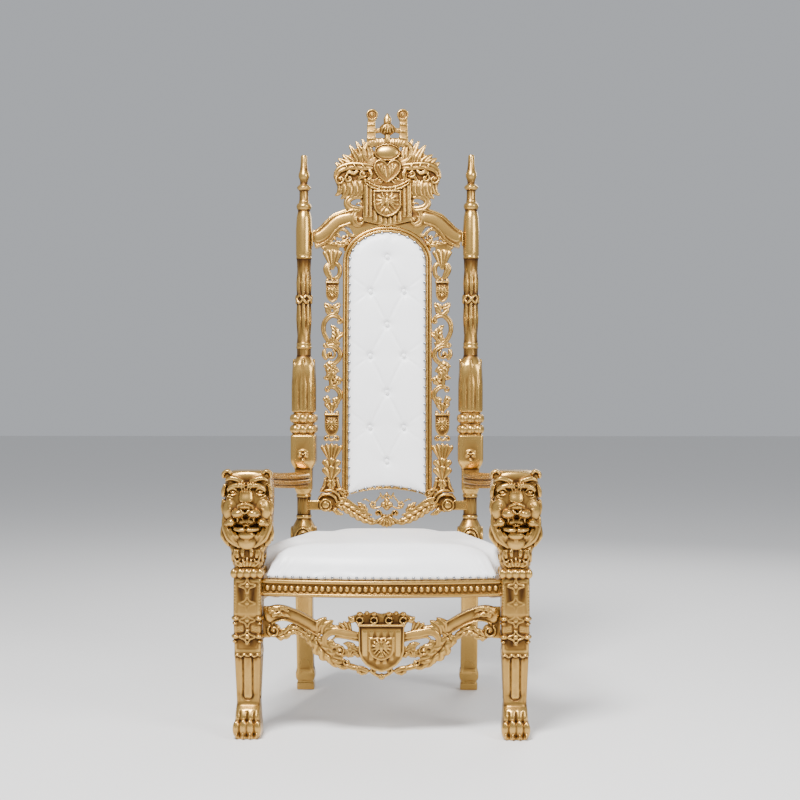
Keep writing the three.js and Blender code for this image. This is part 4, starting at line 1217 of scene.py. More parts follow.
@dataclass(frozen=True)
class FrontLeg:
    """A front leg: a lion's head, leaves, a roll, a panel of quatrefoils, a fluted shin and a paw."""

    rows: tuple[tuple[float, ...], ...] = (
        (0, 33, 1, 98, 5), (6, 36, -1, 99, 4), (18, 37, -1, 99, 4), (36, 36, 0, 98, 4),
        (46, 34.5, 5, 97, 4), (60, 34, 8, 97, 4), (74, 33, 16, 95, 4), (84, 32, 28, 92, 4),
        (92, 31.5, 31, 90, 5), (112, 32, 32, 89, 7), (214, 36, 24, 93, 9), (218, 37, 22.5, 94, 9),
        (224, 37, 22.5, 94, 9), (228, 36.5, 23, 93.5, 9), (330, 38, 11, 96, 9),
        (418, 38, 14, 95, 9), (424, 37, 16, 94, 8), (430, 41, 10, 97, 5), (437, 42, 8, 98, 5),
        (444, 41, 10, 97, 5), (451, 36, 17, 95, 7), (476, 38, 15, 97, 6), (500, 48, 12, 104, 5),
        (508, 52, 16, 108, 5), (548, 60, 14, 120, 5), (600, 63, 12, 128, 5), (640, 64, 10, 130, 5),
        (676, 63, 10, 130, 5), (694, 58, 20, 126, 4), (708, 46, 40, 112, 3),
    )
    triangles: int = 92000

    def relief(self, spots: np.ndarray, angle: np.ndarray) -> np.ndarray:
        """Returns the shifts that cut the flutes, the panel and the gaps between the toes."""
        x, y, z = spots.T
        shift = np.zeros_like(spots)
        faces = ((np.cos(angle), x, 1, -1.0), (np.sin(angle), y - 60.0, 0, 1.0))
        for facing, side, axis, sign in faces:
            on_face = np.clip((np.abs(facing) - 0.62) * 12, 0.0, 1.0) * np.sign(facing)
            off_bar = np.where(z > 112, np.abs(np.abs(side) - 12.5), np.abs(np.hypot(side, z - 112) - 12.5))
            flute = 3.4 * np.exp(-((off_bar / 3.2) ** 4)) * (z < 212) * (z > 92)
            panel = 1.2 * np.clip((30 - np.abs(side)) / 1.5, 0, 1)
            panel *= np.clip(np.minimum(z - 232, 414 - z) / 2, 0, 1)
            shift[:, axis] -= sign * on_face * (flute + panel)
        toe = np.exp(-(((np.abs(np.abs(x) - 9.5) - 9.0) / 2.4) ** 2)) * (z < 76)
        crease = 0.5 * np.exp(-(((z - 47) / 3.0) ** 2))
        sole = 6.0 * toe * np.clip((76 - z) / 14, 0, 1) + 4 * crease
        shift[:, 1] += np.clip(np.cos(angle) * 6 - 3, 0, 1) * sole
        return shift

    def face(self) -> list[Motif]:
        """Returns the right half of the lion's face."""
        return [*self.brow(), *self.muzzle(), *self.jaw(), *self.ruff()]

    def brow(self) -> list[Motif]:
        """Returns the forehead, the brow, the eye and the ear."""
        return [
            Blob(0, 626, 57, 60, 20, 15),
            Blob(0, 688, 58, 20, 9, 15),
            Rib([(6, 680), (22, 686), (42, 690), (58, 683)], (9, 14, 13, 6), 11, 6, 0.1),
            Rib([(0, 667), (16, 671), (36, 669), (53, 658)], (16, 17, 14, 6), 14, 3),
            *(Rib([(x, 681), (x * 1.15, 664)], (4, 5, 3), 13, 0) for x in (4, 11, 18)),
            Blob(36, 654, 9, 5.5, 13, 8),
            Rib([(23, 655), (31, 662), (42, 661), (51, 653)], (4, 5, 5, 3), 14, 6),
            Rib([(25, 651), (34, 646), (44, 647), (50, 651)], (3, 4, 4, 3), 12, 7),
            Rib([(27, 641), (40, 639), (53, 645)], (4, 6, 3), 7, 6),
            Rib([(40, 699), (50, 709), (63, 702), (62, 688)], (9, 11, 11, 8), 13, 18),
            Blob(53, 696, 9, 8, 7, 18),
            Rib([(57, 676), (63, 656), (63, 638)], (8, 12, 8), 9, 14, 0.3),
        ]

    def muzzle(self) -> list[Motif]:
        """Returns the bridge and the tip of the nose, the upper lip and the cheek."""
        whiskers = [Rib([(24, z, -25), (36, z + 2, -13)], (3, 2.5), 3, 0) for z in (597, 603)]
        return [
            Rib([(0, 668, -2), (0, 648, -6), (0, 624, -14)], (34, 38, 46), 12, 4),
            *(Rib([(x, 672, 0), (x * 0.6, 652, -4)], (4, 3), 14, 2) for x in (5, 14)),
            Blob(0, 617, 20, 9, 19, -19),
            Blob(16, 615, 8, 7, 17, -14),
            Rib([(0, 625, -32), (11, 624, -31), (22, 617, -20)], (5, 7, 7), 6, -5),
            Rib([(14, 612, -28), (7, 605, -33), (0, 598, -32)], (5, 5, 4), 5, -4),
            Blob(19.5, 599, 20.5, 15.5, 36, 0, -9),
            *whiskers,
            Blob(37, 608, 27, 36, 17, 12, 8),
            Rib([(38, 622, -4), (54, 614, 6)], (5, 4), 7, 1),
            Rib([(40, 610, -4), (56, 602, 6)], (5, 4), 7, 1),
            Rib([(44, 634, 4), (59, 627, 10)], (5, 4), 10, 4),
            Rib([(52, 620, 4), (62, 610, 10)], (5, 4), 10, 4),
        ]

    def jaw(self) -> list[Motif]:
        """Returns the lower lip, the teeth, the tongue, the chin and the beard."""
        return [
            Blob(0, 576, 34, 13, 14, 8),
            Blob(40, 574, 15, 13, 22, 8, -12),
            Blob(49, 570, 13, 10, 20, 13, -10),
            Rib([(0, 556, -9), (18, 555, -7), (36, 557, 3)], (13, 13, 9), 17, 3),
            Rib([(21, 586), (22, 572)], (7, 3), 24, 0),
            Rib([(8, 587), (8, 581)], (6, 5), 22, 0),
            Blob(0, 567, 13, 5, 19, 4),
            Blob(0, 540, 22, 13, 13, 6),
            Blob(0, 522, 28, 22, 9, 12),
            Rib([(0, 532, 4), (0, 518, 7), (0, 503, 13)], (18, 14, 6), 7, 2, 0.15),
        ]

    def ruff(self) -> list[Motif]:
        """Returns the locks of the mane round the jaw."""
        return [
            Rib([(60, 596, 12), (59, 566, 8), (46, 532, 6), (18, 504, 10)], (10, 18, 20, 5), 12, 4, 0.25),
            Rib([(46, 560, 8), (38, 540, 6), (24, 520, 10)], (8, 16, 5), 13, 4, 0.25),
            Rib([(64, 568, 12), (63, 538, 12), (48, 507, 12)], (9, 18, 6), 11, 6, 0.3),
            Rib([(34, 550, 8), (28, 538, 8), (18, 524, 12)], (7, 12, 4), 12, 3, 0.25),
            Rib([(64, 636, 14), (64, 612, 14), (62, 590, 14)], (7, 13, 8), 9, 3, 0.3),
        ]

    def crown_of_head(self) -> list[Motif]:
        """Returns the locks of hair on the top of the head, right half."""
        return [
            Rib([(x, 30), (x * 1.1, 70), (x * 0.9, 118)], (8, 15, 6), 7, 5, 0.35) for x in (8, 24, 40)
        ]

    def mane(self) -> list[Motif]:
        """Returns the locks on the side of the head."""
        locks: list[Motif] = []
        for i in range(7):
            z = 692 - 25 * i
            locks.append(Rib([(-50, z), (-22, z + 4), (14, z - 8), (54, z - 30)], (9, 20, 20, 5), 9, 5, 0.4))
        locks += [
            Rib([(x, 552), (x - 2, 530), (x - 10, 506)], (8, 16, 5), 8, 9, 0.35)
            for x in (-30, -10, 10, 30)
        ]
        return locks

    def ornaments(self, base: float) -> list[Motif]:
        """Returns the right half of the leaves, the roll and the quatrefoils on one face.

        Args:
            base: How far behind the fronts of the paws the face lies.

        Returns:
            Their motifs.
        """
        petals = [
            Rib([(31, 503), (35, 484), (27, 468), (17, 476)], (5, 6, 6, 5), 8, base),
            Rib([(29, 502), (27, 488), (24, 476)], (8, 12, 7), 7, base, 0.3),
            Rib([(11, 503), (12, 488), (9, 479)], (9, 12, 6), 8, base, 0.3),
            *(
                Rib([(x * 0.5, 453), (x, 480 - abs(x) * 0.35)], (4, 8, 4), 6, base + 1)
                for x in (0, 12, 24, 34)
            ),
        ]
        roll = [Blob(x, 437, 10, 13, 9, base) for x in (0, 18, 35)]
        flowers: list[Motif] = []
        for z in (404, 358, 313, 268):
            outline = [(0, z + 20), (6, z + 8), (21, z), (6, z - 8), (0, z - 20)]
            outline += [(-x, 2 * z - up) for x, up in outline[1:4]]
            flowers.append(Rib(outline, (5.4, 5.4), 8, base + 6, closed=True, depth=4))
            flowers.append(Blob(0, z, 7.5, 7.5, 8, base + 5))
            flowers.append(Rib([(8, z), (16, z)], (4, 3), 4, base + 5))
        bosses = [Blob(31, z, 10, 6.5, 10, base + 2) for z in (269, 317)]
        small = [Blob(33, z, 6, 4, 7, base + 2) for z in (256, 304)]
        notches = [Blob(33.5, 340 + 8 * i, 2.6, 2.8, 3.2, base + 2) for i in range(9)]
        lines = [Rib([(12, 296 - 5 * i), (27, 293 - 5 * i)], (3.4, 3.4), 3, base + 4) for i in range(3)]
        hem = [(0, 214), (9, 220), (18, 214), (27, 220), (36, 215)]
        return [*petals, *roll, *flowers, *bosses, *small, *notches, *lines, Rib(hem, (4, 5), 5, base + 9)]

    def paw(self) -> list[Motif]:
        """Returns the right half of the toes and claws."""
        return [
            Blob(9, 28, 10.5, 24, 10, 4),
            Blob(28, 26, 10, 22, 10, 8),
            Rib([(9, 18, -2), (9, 4, -5)], (7, 4), 7, 0),
            Rib([(27, 18, 2), (27, 4, -1)], (7, 4), 7, 0),
        ]

    def build(self) -> bpy.types.Object:
        """Returns the right-hand leg."""
        carving = Carving()
        carving.add(*self.face(), *self.ornaments(14.0), *self.paw())
        carving.pose = Matrix.Translation((0.0, 0.0, 699.0)) @ Matrix.Rotation(-math.pi / 2, 4, "X")
        carving.add(*self.crown_of_head())
        side = Matrix.Translation((0.0, 60.0, 0.0)) @ turned_face(1)
        carving.pose = side @ Matrix.Translation((8.0, -60.0, 0.0))
        carving.add(*self.mane())
        carving.mirror()
        carving.pose = Matrix.Identity(4)
        for quarter in (1, 3):
            for flip in (1.0, -1.0):
                spin = Matrix.Translation((0.0, 57.0, 0.0)) @ turned_face(quarter, 36.0)
                carving.pose = spin @ Matrix.Diagonal((flip, 1.0, 1.0, 1.0))
                carving.add(*self.ornaments(0.0))
        carving.pose = Matrix.Identity(4)
        rings = [
            (z, half, (back - front) / 2, (back + front) / 2, square)
            for z, half, front, back, square in self.rows
        ]
        carving.add(Column(rings, 112, 2.2, self.relief))
        place = GROUND @ Matrix.Translation((LEG_HALF, 0.0, 0.0))
        return carving.fused("carved_leg_right", place, self.triangles, 1.5, 4)


@dataclass(frozen=True)
class BackPost:
    """A back post: a square foot, leafy swellings, a tied bundle of leaves and a turned spire."""

    rows: tuple[tuple[float, ...], ...] = (
        (0, 27, 9), (20, 27, 9), (23, 25, 9), (27, 24, 9), (32, 28, 7), (40, 30, 7), (52, 30, 7),
        (60, 28, 7), (68, 26, 9), (200, 26, 9), (360, 27, 9), (430, 27, 8), (450, 30, 5),
        (478, 36, 3.4), (492, 37, 2.8), (506, 35, 2.4), (522, 27, 2), (532, 21.5, 2), (536, 24, 2),
        (541, 24, 2), (544, 21, 2), (596, 21, 2), (599, 23.5, 2), (604, 23.5, 2), (607, 21.5, 2),
        (611, 24.5, 3), (617, 25, 4), (622, 27, 8), (684, 27, 8), (688, 29, 8), (700, 36, 8),
        (708, 38.5, 9), (716, 39, 10), (786, 39, 10), (789, 37, 8), (792, 33, 6), (798, 36, 4),
        (807, 38, 4), (816, 36, 4), (823, 32, 4), (831, 36, 4), (840, 38, 4), (849, 36, 4),
        (856, 31, 4), (862, 33, 4), (930, 35, 4), (985, 36, 3.6), (1006, 34, 3), (1020, 29, 2.4),
        (1032, 23, 2), (1036, 22, 2), (1056, 22, 2), (1059, 24.5, 2), (1063, 24.5, 2),
        (1066, 22, 2), (1072, 24, 2), (1076, 22, 2), (1100, 20.5, 2), (1150, 19.5, 2),
        (1196, 20, 2), (1210, 21, 2), (1224, 20, 2), (1262, 20, 2), (1300, 21, 2), (1336, 22.5, 2),
        (1339, 24.5, 2), (1343, 24.5, 2), (1346, 23, 2), (1350, 25, 2), (1354, 25, 2),
        (1427, 25.5, 2), (1470, 23, 2), (1490, 18.5, 2), (1495, 21.5, 2), (1503, 24, 2),
        (1511, 21.5, 2), (1516, 15, 2), (1519, 16.5, 2), (1523, 14.5, 2), (1553, 14, 2),
        (1557, 19, 2), (1563, 23, 2), (1569, 19, 2), (1573, 13, 2), (1578, 11.5, 2),
        (1588, 13.5, 2), (1598, 17.5, 2), (1606, 17, 2), (1620, 12.5, 2), (1640, 10.5, 2),
        (1660, 9.8, 2), (1666, 9, 2),
    )
    triangles: int = 45000

    def quarter(self) -> list[Motif]:
        """Returns the carving of one of the four faces."""
        arcs: list[Motif] = []
        for radius in (12, 23, 34):
            points = [
                (radius * math.cos(a) * 0.8, 466 + radius * 1.15 * math.sin(a))
                for a in np.radians(range(0, 181, 30))
            ]
            arcs.append(Rib(points, (6, 7, 6), 6, -34))
        sheath = [
            Rib([(0, 858), (0, 950), (0, 1026)], (24, 25, 4), 7, -32, 0.35),
            Rib([(19, 858), (19, 940), (12, 1008)], (12, 14, 4), 6, -31, 0.2),
            Rib([(-19, 858), (-19, 940), (-12, 1008)], (12, 14, 4), 6, -31, 0.2),
        ]
        pads = [Blob(x, z, 12.5, 13, 8, -34) for z in (807, 840) for x in (-23, 0, 23)]
        return [*arcs, *sheath, *pads]

    def corner(self) -> list[Motif]:
        """Returns the carving over one of the four corners."""
        return [
            Rib([(0, 858), (0, 950), (0, 1016)], (14, 16, 4), 7, -37, 0.3),
            Rib([(0, 450), (0, 480), (0, 512)], (8, 10, 4), 5, -34),
        ]

    def bundle(self) -> list[Motif]:
        """Returns one leaf up, one leaf down and one turn of the tie round the middle of the post."""
        return [
            Rib([(0, 1216), (1, 1262), (0, 1306)], (7, 14, 3), 7, -18, 0.35),
            Rib([(0, 1204), (-1, 1150), (0, 1096)], (7, 14, 3), 7, -18, 0.35),
        ]

    def tie(self) -> list[Motif]:
        """Returns one pair of crossing cords of the tie."""
        return [
            Rib([(-12, 1196, 3), (0, 1210, -1), (12, 1224, 3)], (8, 10, 8), 8, -21, 0.2),
            Rib([(12, 1198, 3), (0, 1212, 0), (-12, 1226, 3)], (7, 8, 7), 6, -21),
        ]

    def build(self) -> bpy.types.Object:
        """Returns the right-hand post."""
        carving = Carving()
        carving.add(Column([(z, half, half, 0.0, square) for z, half, square in self.rows], 64, 2.0))
        for i in range(4):
            carving.pose = turned_face(i)
            carving.add(*self.quarter())
            carving.pose = turned_face(i + 0.5)
            carving.add(*self.corner())
        for i in range(8):
            carving.pose = turned_face(i / 2)
            carving.add(*self.bundle())
        for i in range(6):
            carving.pose = turned_face(i * 2 / 3)
            carving.add(*self.tie())
        carving.pose = Matrix.Identity(4)
        carving.add(Curl(-8, 727, 8, 0, 400, 5, 6, -38), Curl(8, 727, 8, 180, -400, 5, 6, -38))
        carving.add(Blob(0, 712, 6, 5, 7, -38), Rib([(-16, 736), (0, 742), (16, 736)], (4, 6, 4), 5, -38))
        carving.bend(
            lambda spots: np.stack([post_x(spots[:, 2]), post_y(spots[:, 2]), 0 * spots[:, 2]], axis=1)
        )
        return carving.fused("carved_post_right", GROUND, self.triangles, 1.5, 1)


# Rails, arms and the frame, swept along their lines


@dataclass(frozen=True)
class Sweep:
    """A moulding of a closed profile, swept along a line of stations."""

    profile: Path
    stations: Callable[[np.ndarray], tuple[np.ndarray, np.ndarray]]
    rings: int

    def carve(self, carving: Carving) -> None:
        """Adds the moulding to a carving."""
        outline = np.array(self.profile, dtype=float)
        loop = np.vstack([outline, outline[:1]])
        marks = np.concatenate([[0.0], np.cumsum(np.linalg.norm(np.diff(loop, axis=0), axis=1))])
        marks /= marks[-1]
        centre = outline.mean(axis=0)

        def place(run: np.ndarray, angle: np.ndarray) -> np.ndarray:
            inner = ((run > 1e-4) & (run < 1 - 1e-4)).astype(float)
            share = np.clip((run * self.rings - 1) / (self.rings - 2), 0.0, 1.0)
            middle, side = self.stations(share)
            turn = (angle / (2 * np.pi)) % 1.0
            out = centre[0] + (np.interp(turn, marks, loop[:, 0]) - centre[0]) * inner
            up = centre[1] + (np.interp(turn, marks, loop[:, 1]) - centre[1]) * inner
            return middle + side * out[:, None] + np.array([0.0, 0.0, 1.0]) * up[:, None]

        carving.body(96, self.rings, place)


@dataclass(frozen=True)
class FrontRail:
    """The bowed front rail with a row of beads between two mouldings."""

    half: float = 317.7
    bow_half: float = 318.0
    centre: float = 46.0
    bow: float = 34.0
    bottom: float = 374.0
    beads: int = 38

    def front(self, x: np.ndarray | float) -> np.ndarray | float:
        """Returns how far back the middle of the rail lies at a place across it."""
        return self.centre - self.bow * (1 - (x / self.bow_half) ** 2)

    def stations(self, share: np.ndarray) -> tuple[np.ndarray, np.ndarray]:
        """Returns the points and the outward directions for shares of the rail's length."""
        x = (2 * share - 1) * self.half
        middle = np.stack([x, self.front(x), np.zeros_like(x)], axis=1)
        return middle, np.tile([0.0, -1.0, 0.0], (len(x), 1))

    def build(self) -> bpy.types.Object:
        """Returns the finished rail."""
        z = self.bottom
        profile = [(-16, z), (12, z), (16, z + 2), (18.5, z + 5), (18, z + 9), (14, z + 11), (12, z + 13)]
        profile += [(12, z + 33), (14, z + 35), (17, z + 36), (18.5, z + 40), (18, z + 44), (15, z + 46),
                    (-16, z + 46)]
        carving = Carving()
        carving.add(Sweep(profile, self.stations, 160))
        for i in range(self.beads):
            x = (2 * (i + 0.5) / self.beads - 1) * (self.half - 6)
            base = float(self.front(x)) - 13
            carving.add(Blob(x, z + 23, 6.8, 8.4, 6.5, base), Blob(x, z + 23, 2.6, 2.6, 8.2, base))
        return carving.fused("moulded_front_rail", GROUND, 52000, 1.3, 1)


@dataclass(frozen=True)
class Arm:
    """An arm: a moulded bar from the back of the lion's neck to the post."""

    start: tuple[float, float, float] = (356.0, 132.3, 677.0)
    end_height: float = 655.0

    def stations(self, share: np.ndarray) -> tuple[np.ndarray, np.ndarray]:
        """Returns the points and the outward directions for shares of the arm's length."""
        rear = self.end_height
        end = (post_x(rear), post_y(rear) - 24, rear)
        a, b, c, d = np.array([self.start, (362.0, 300.0, rear + 22), (320.0, 430.0, rear - 4), end])
        t = share[:, None]
        line = (1 - t) ** 3 * a + 3 * (1 - t) ** 2 * t * b + 3 * (1 - t) * t**2 * c + t**3 * d
        slope = 3 * ((1 - t) ** 2 * (b - a) + 2 * (1 - t) * t * (c - b) + t**2 * (d - c))
        side = np.stack([slope[:, 1], -slope[:, 0], np.zeros(len(share))], axis=1)
        return line, side / np.linalg.norm(side, axis=1)[:, None]

    def build(self) -> bpy.types.Object:
        """Returns the right-hand arm."""
        right = [(0, 23), (10, 22.5), (18, 19), (23, 14), (25.5, 9), (24.5, 5), (21, 3), (21, 0), (25, -2),
                 (26, -7)]
        right += [(24, -12), (20.5, -14), (20.5, -17), (22, -19), (21, -23)]
        profile = right + [(-x, z) for x, z in reversed(right[1:])]
        carving = Carving()
        carving.add(Sweep(profile, self.stations, 130))
        return carving.fused("moulded_arm_right", GROUND, 16000, 1.5, 1)


@dataclass(frozen=True)
class ArchOutline:
    """The arched outline of the frame, drawn in by an inset."""

    half: float = 139.0
    spring: float = 849.0
    rise: float = 113.0
    foot: float = 118.0
    camber: float = 25.0

    def points(self, inset: float, bottom: int = 24, side: int = 48, arch: int = 48) -> np.ndarray:
        """Returns the outline as (across, up) rows.

        Args:
            inset: How far inside the outer edge it lies.
            bottom: Steps along the cambered bottom.
            side: Steps up each side.
            arch: Steps round the arch.

        Returns:
            One row for each point, once round.
        """
        half, rise, foot = self.half - inset, self.rise - inset, self.foot + 0.45 * inset
        t = np.linspace(-1, 1, bottom, endpoint=False)
        low = np.stack([t * half, foot + self.camber * (1 - t**2)], axis=1)
        up = np.stack([np.full(side, half), np.linspace(foot, self.spring, side, endpoint=False)], axis=1)
        a = np.linspace(0, np.pi, arch, endpoint=False)
        over = np.stack([half * np.cos(a), self.spring + rise * np.sin(a)], axis=1)
        down = np.stack([np.full(side, -half), np.linspace(self.spring, foot, side, endpoint=False)], axis=1)
        return np.vstack([low, up, over, down])


@dataclass(frozen=True)
class BackFrame:
    """The moulded frame round the back pad: profile rows are (inset, back)."""

    outline: ArchOutline = ArchOutline()
    profile: Path = (
        (0, 30), (0, 10), (0.3, 2), (1.2, -1.5), (3, -3.6), (5.5, -4.2), (8, -3.4), (9.2, -1.2),
        (9.8, 0.6), (10.8, 0.6), (11.4, -1), (12.4, -3), (14.2, -4), (16.2, -3.4), (17.8, -1.4),
        (18.7, 2), (19, 8), (19, 30),
    )

    def build(self) -> bpy.types.Object:
        """Returns the finished frame."""
        rings = [self.outline.points(inset) for inset, _ in self.profile]
        around, across = len(rings[0]), len(self.profile)
        mesh = bmesh.new()
        verts = bmesh.ops.create_grid(mesh, x_segments=around, y_segments=across, size=0.5)["verts"]
        for vert in verts:
            i = round((vert.co.x + 0.5) * around) % around
            j = round((vert.co.y + 0.5) * across) % across
            x, z = rings[j][i]
            vert.co = (x, self.profile[j][1], z)
        bmesh.ops.remove_doubles(mesh, verts=mesh.verts, dist=1e-4)
        bmesh.ops.recalc_face_normals(mesh, faces=mesh.faces)
        bmesh.ops.transform(mesh, matrix=Matrix.Scale(MM, 4) @ BACK, verts=mesh.verts)
        data = bpy.data.meshes.new("moulded_back_frame")
        mesh.to_mesh(data)
        mesh.free()
        piece = shown("moulded_back_frame", data)
        # relief for the gold paint's painted shade in the recesses and painted highlight on the crests
        mark_painted_shade_and_highlight(piece.data, 4)
        return piece


@dataclass(frozen=True)
class SideApron:
    """A side apron: a bracketed board with a moulded edge and a leaf at each end."""

    start: float = 96.3
    top: float = 373.7

    def build(self) -> bpy.types.Object:
        """Returns the right-hand side apron."""
        end = float(post_y(374.0)) - 27.3
        top = self.top
        lower = Curve([(end, top - 78), (end - 30, top - 68), (end - 62, top - 40), (end - 130, top - 28),
                       ((self.start + end) / 2, top - 46), (self.start + 130, top - 28),
                       (self.start + 62, top - 40),
                       (self.start + 30, top - 68), (self.start, top - 78)])
        edge = [(y, z) for y, _, z in lower.line[::3]]
        carving = Carving()
        carving.pose = Matrix.Rotation(math.pi / 2, 4, "Z")
        rim = [(y, z + 5) for y, z in edge[1:-1]]
        carving.add(Slab([(self.start, top), *edge[::-1], (end, top)], -7.0, 8.0), Rib(rim, (6, 6), 4, -6))
        middle = (self.start + end) / 2
        for side in (-1, 1):
            root = middle + side * (end - self.start) * 0.47
            carving.add(Frond([(root, top - 62), (root - side * 26, top - 40),
                               (root - side * 74, top - 18)], 34, 5, 8, -5))
            carving.add(Curl(middle + side * 16, top - 22, 11, 90 + side * 90, side * 400, 7, 7, -5))
        carving.add(Fan(middle, top - 40, 34, 30, 150, 5, 8, -5))
        foot, head = post_x(374.0), LEG_HALF
        span = end + 27 - self.start

        def lean_in(spots: np.ndarray) -> np.ndarray:
            across = head + (foot - head) * (spots[:, 1] - self.start) / span
            return np.stack([across, 0 * spots[:, 1], 0 * spots[:, 1]], axis=1)

        carving.bend(lean_in)
        return carving.fused("carved_side_apron_right", GROUND, 20000, 1.6, 1)


# Upholstery


def merged_copy(node: str) -> bpy.types.Mesh:
    """Returns a copy of a node's mesh with its loose triangles joined."""
    mesh = bmesh.new()
    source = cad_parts[node]
    mesh.from_mesh(source.data)
    bmesh.ops.transform(mesh, matrix=source.matrix_world, verts=mesh.verts)
    bmesh.ops.remove_doubles(mesh, verts=mesh.verts, dist=1e-6)
    copy = bpy.data.meshes.new(node + "_copy")
    mesh.to_mesh(copy)
    mesh.free()
    return copy


def remeshed(name: str, mesh: bpy.types.Mesh, voxel: float) -> bpy.types.Object:
    """Returns an object with an even mesh over a closed shape.

    Args:
        name: Name of the object.
        mesh: The closed shape.
        voxel: Size of the faces in millimetres.

    Returns:
        The object.
    """
    rough = bpy.data.objects.new(name + "_rough", mesh)
    bpy.context.scene.collection.objects.link(rough)
    remesh = rough.modifiers.new("even", "REMESH")
    remesh.mode = "VOXEL"
    remesh.voxel_size = voxel * MM
    even = baked(rough, name)
    bpy.data.objects.remove(rough)
    return shown(name, even)


def inflate(
    piece: bpy.types.Object, held: Callable[[np.ndarray], np.ndarray], pressure: float, cap: float
) -> None:
    """Swells a closed shape as stuffed cloth, with some points held.

    Args:
        piece: The shape, whose mesh is changed.
        held: Tells which of the points, in metres, are held in place.
        pressure: The stuffing's pressure.
        cap: The most that a point may move, in millimetres.
    """
    count = len(piece.data.vertices)
    start = np.empty(count * 3)
    piece.data.vertices.foreach_get("co", start)
    start = start.reshape(-1, 3)
    pinned = np.flatnonzero(held(start))
    group = piece.vertex_groups.new(name="held")
    group.add([int(i) for i in pinned], 1.0, "REPLACE")
    cloth = piece.modifiers.new("stuffing", "CLOTH")
    cloth.settings.vertex_group_mass = "held"
    cloth.settings.quality = 6
    cloth.settings.mass = 0.3
    cloth.settings.use_pressure = True
    cloth.settings.uniform_pressure_force = pressure
    cloth.settings.effector_weights.gravity = 0.0
    cloth.settings.tension_stiffness = 30
    cloth.settings.compression_stiffness = 30
    cloth.settings.bending_stiffness = 2.0
    cloth.collision_settings.use_collision = False
    scene = bpy.context.scene
    for number in range(1, CLOTH_FRAMES + 1):
        scene.frame_set(number)
    swollen = baked(piece, piece.name)
    end = np.empty(count * 3)
    swollen.vertices.foreach_get("co", end)
    scene.frame_set(1)
    piece.modifiers.clear()
    piece.vertex_groups.clear()
    moved = end.reshape(-1, 3) - start
    length = np.linalg.norm(moved, axis=1)[:, None] + 1e-12
    reach = cap * MM
    moved *= reach * np.tanh(length / reach) / length
    piece.data.vertices.foreach_set("co", (start + moved).ravel())
    piece.data.update()
    bpy.data.meshes.remove(swollen)


def refined(piece: bpy.types.Object, rounds: int, above: float = -1.0) -> None:
    """Smooths a mesh and splits its faces once.

    Args:
        piece: The object whose mesh is changed.
        rounds: Rounds of smoothing before the split.
        above: Height, in metres, over which the mesh is smoothed.
    """
    group = piece.vertex_groups.new(name="upper")
    upper = np.flatnonzero(points_of(piece.data)[:, 2] > above)
    group.add([int(i) for i in upper], 1.0, "REPLACE")
    smooth = piece.modifiers.new("smooth", "SMOOTH")
    smooth.factor = 0.5
    smooth.iterations = rounds
    smooth.vertex_group = group.name
    split = piece.modifiers.new("split", "SUBSURF")
    split.levels = split.render_levels = 1
    fine = baked(piece, piece.name)
    piece.modifiers.clear()
    piece.vertex_groups.clear()
    piece.data = fine


def thinned(piece: bpy.types.Object, triangles: int) -> None:
    """Drops faces where a mesh is flat, down to a number of triangles.

    Args:
        piece: The object whose mesh is changed.
        triangles: Most triangles that it may keep.
    """
    count = sum(len(face.vertices) - 2 for face in piece.data.polygons)
    thin = piece.modifiers.new("thin", "DECIMATE")
    thin.ratio = min(1.0, triangles / count)
    fine = baked(piece, piece.name)
    piece.modifiers.clear()
    piece.data = fine
    fine.shade_smooth()


def points_of(mesh: bpy.types.Mesh) -> np.ndarray:
    """Returns the points of a mesh as rows, in metres."""
    spots = np.empty(len(mesh.vertices) * 3)
    mesh.vertices.foreach_get("co", spots)
    return spots.reshape(-1, 3)


@dataclass(frozen=True)
class SeatCushion:
    """The sprung seat under one taut white cover."""

    voxel: float = 6.0
    pressure: float = 4.0
    swell: float = 7.0
    smoothing: int = 22
    crown: float = 24.0
    triangles: int = 46000

    def build(self) -> bpy.types.Object:
        """Returns the finished cushion."""
        piece = remeshed("seat_cover", merged_copy("seat_cushion"), self.voxel)
        floor = (SEAT_TOP + 10) * MM
        inflate(piece, lambda spots: spots[:, 2] < floor, self.pressure, self.swell)
        refined(piece, self.smoothing, (SEAT_TOP + self.crown) * MM)
        self.pull(piece.data)
        thinned(piece, self.triangles)
        return piece

    def pull(self, mesh: bpy.types.Mesh) -> None:
        """Draws in the cover a little where it is nailed down and gathers it at the front corners."""
        spots = points_of(mesh)
        x, y, z = spots.T / MM
        low = np.exp(-(((z - SEAT_TOP) / 16) ** 2))
        ripple = 0.6 * np.sin(x * 0.29) * low * (np.abs(y - PAW_Y - 20) < 60)
        corner = np.exp(-(((np.abs(x) - 268) / 30) ** 2)) * np.exp(-(((z - 446) / 22) ** 2))
        fold = 2.0 * corner * np.sin((np.abs(x) - 268) * 0.3 + z * 0.16) * (y < PAW_Y + 90)
        spots[:, 1] += (ripple + fold) * MM
        mesh.vertices.foreach_set("co", spots.ravel())
        mesh.update()


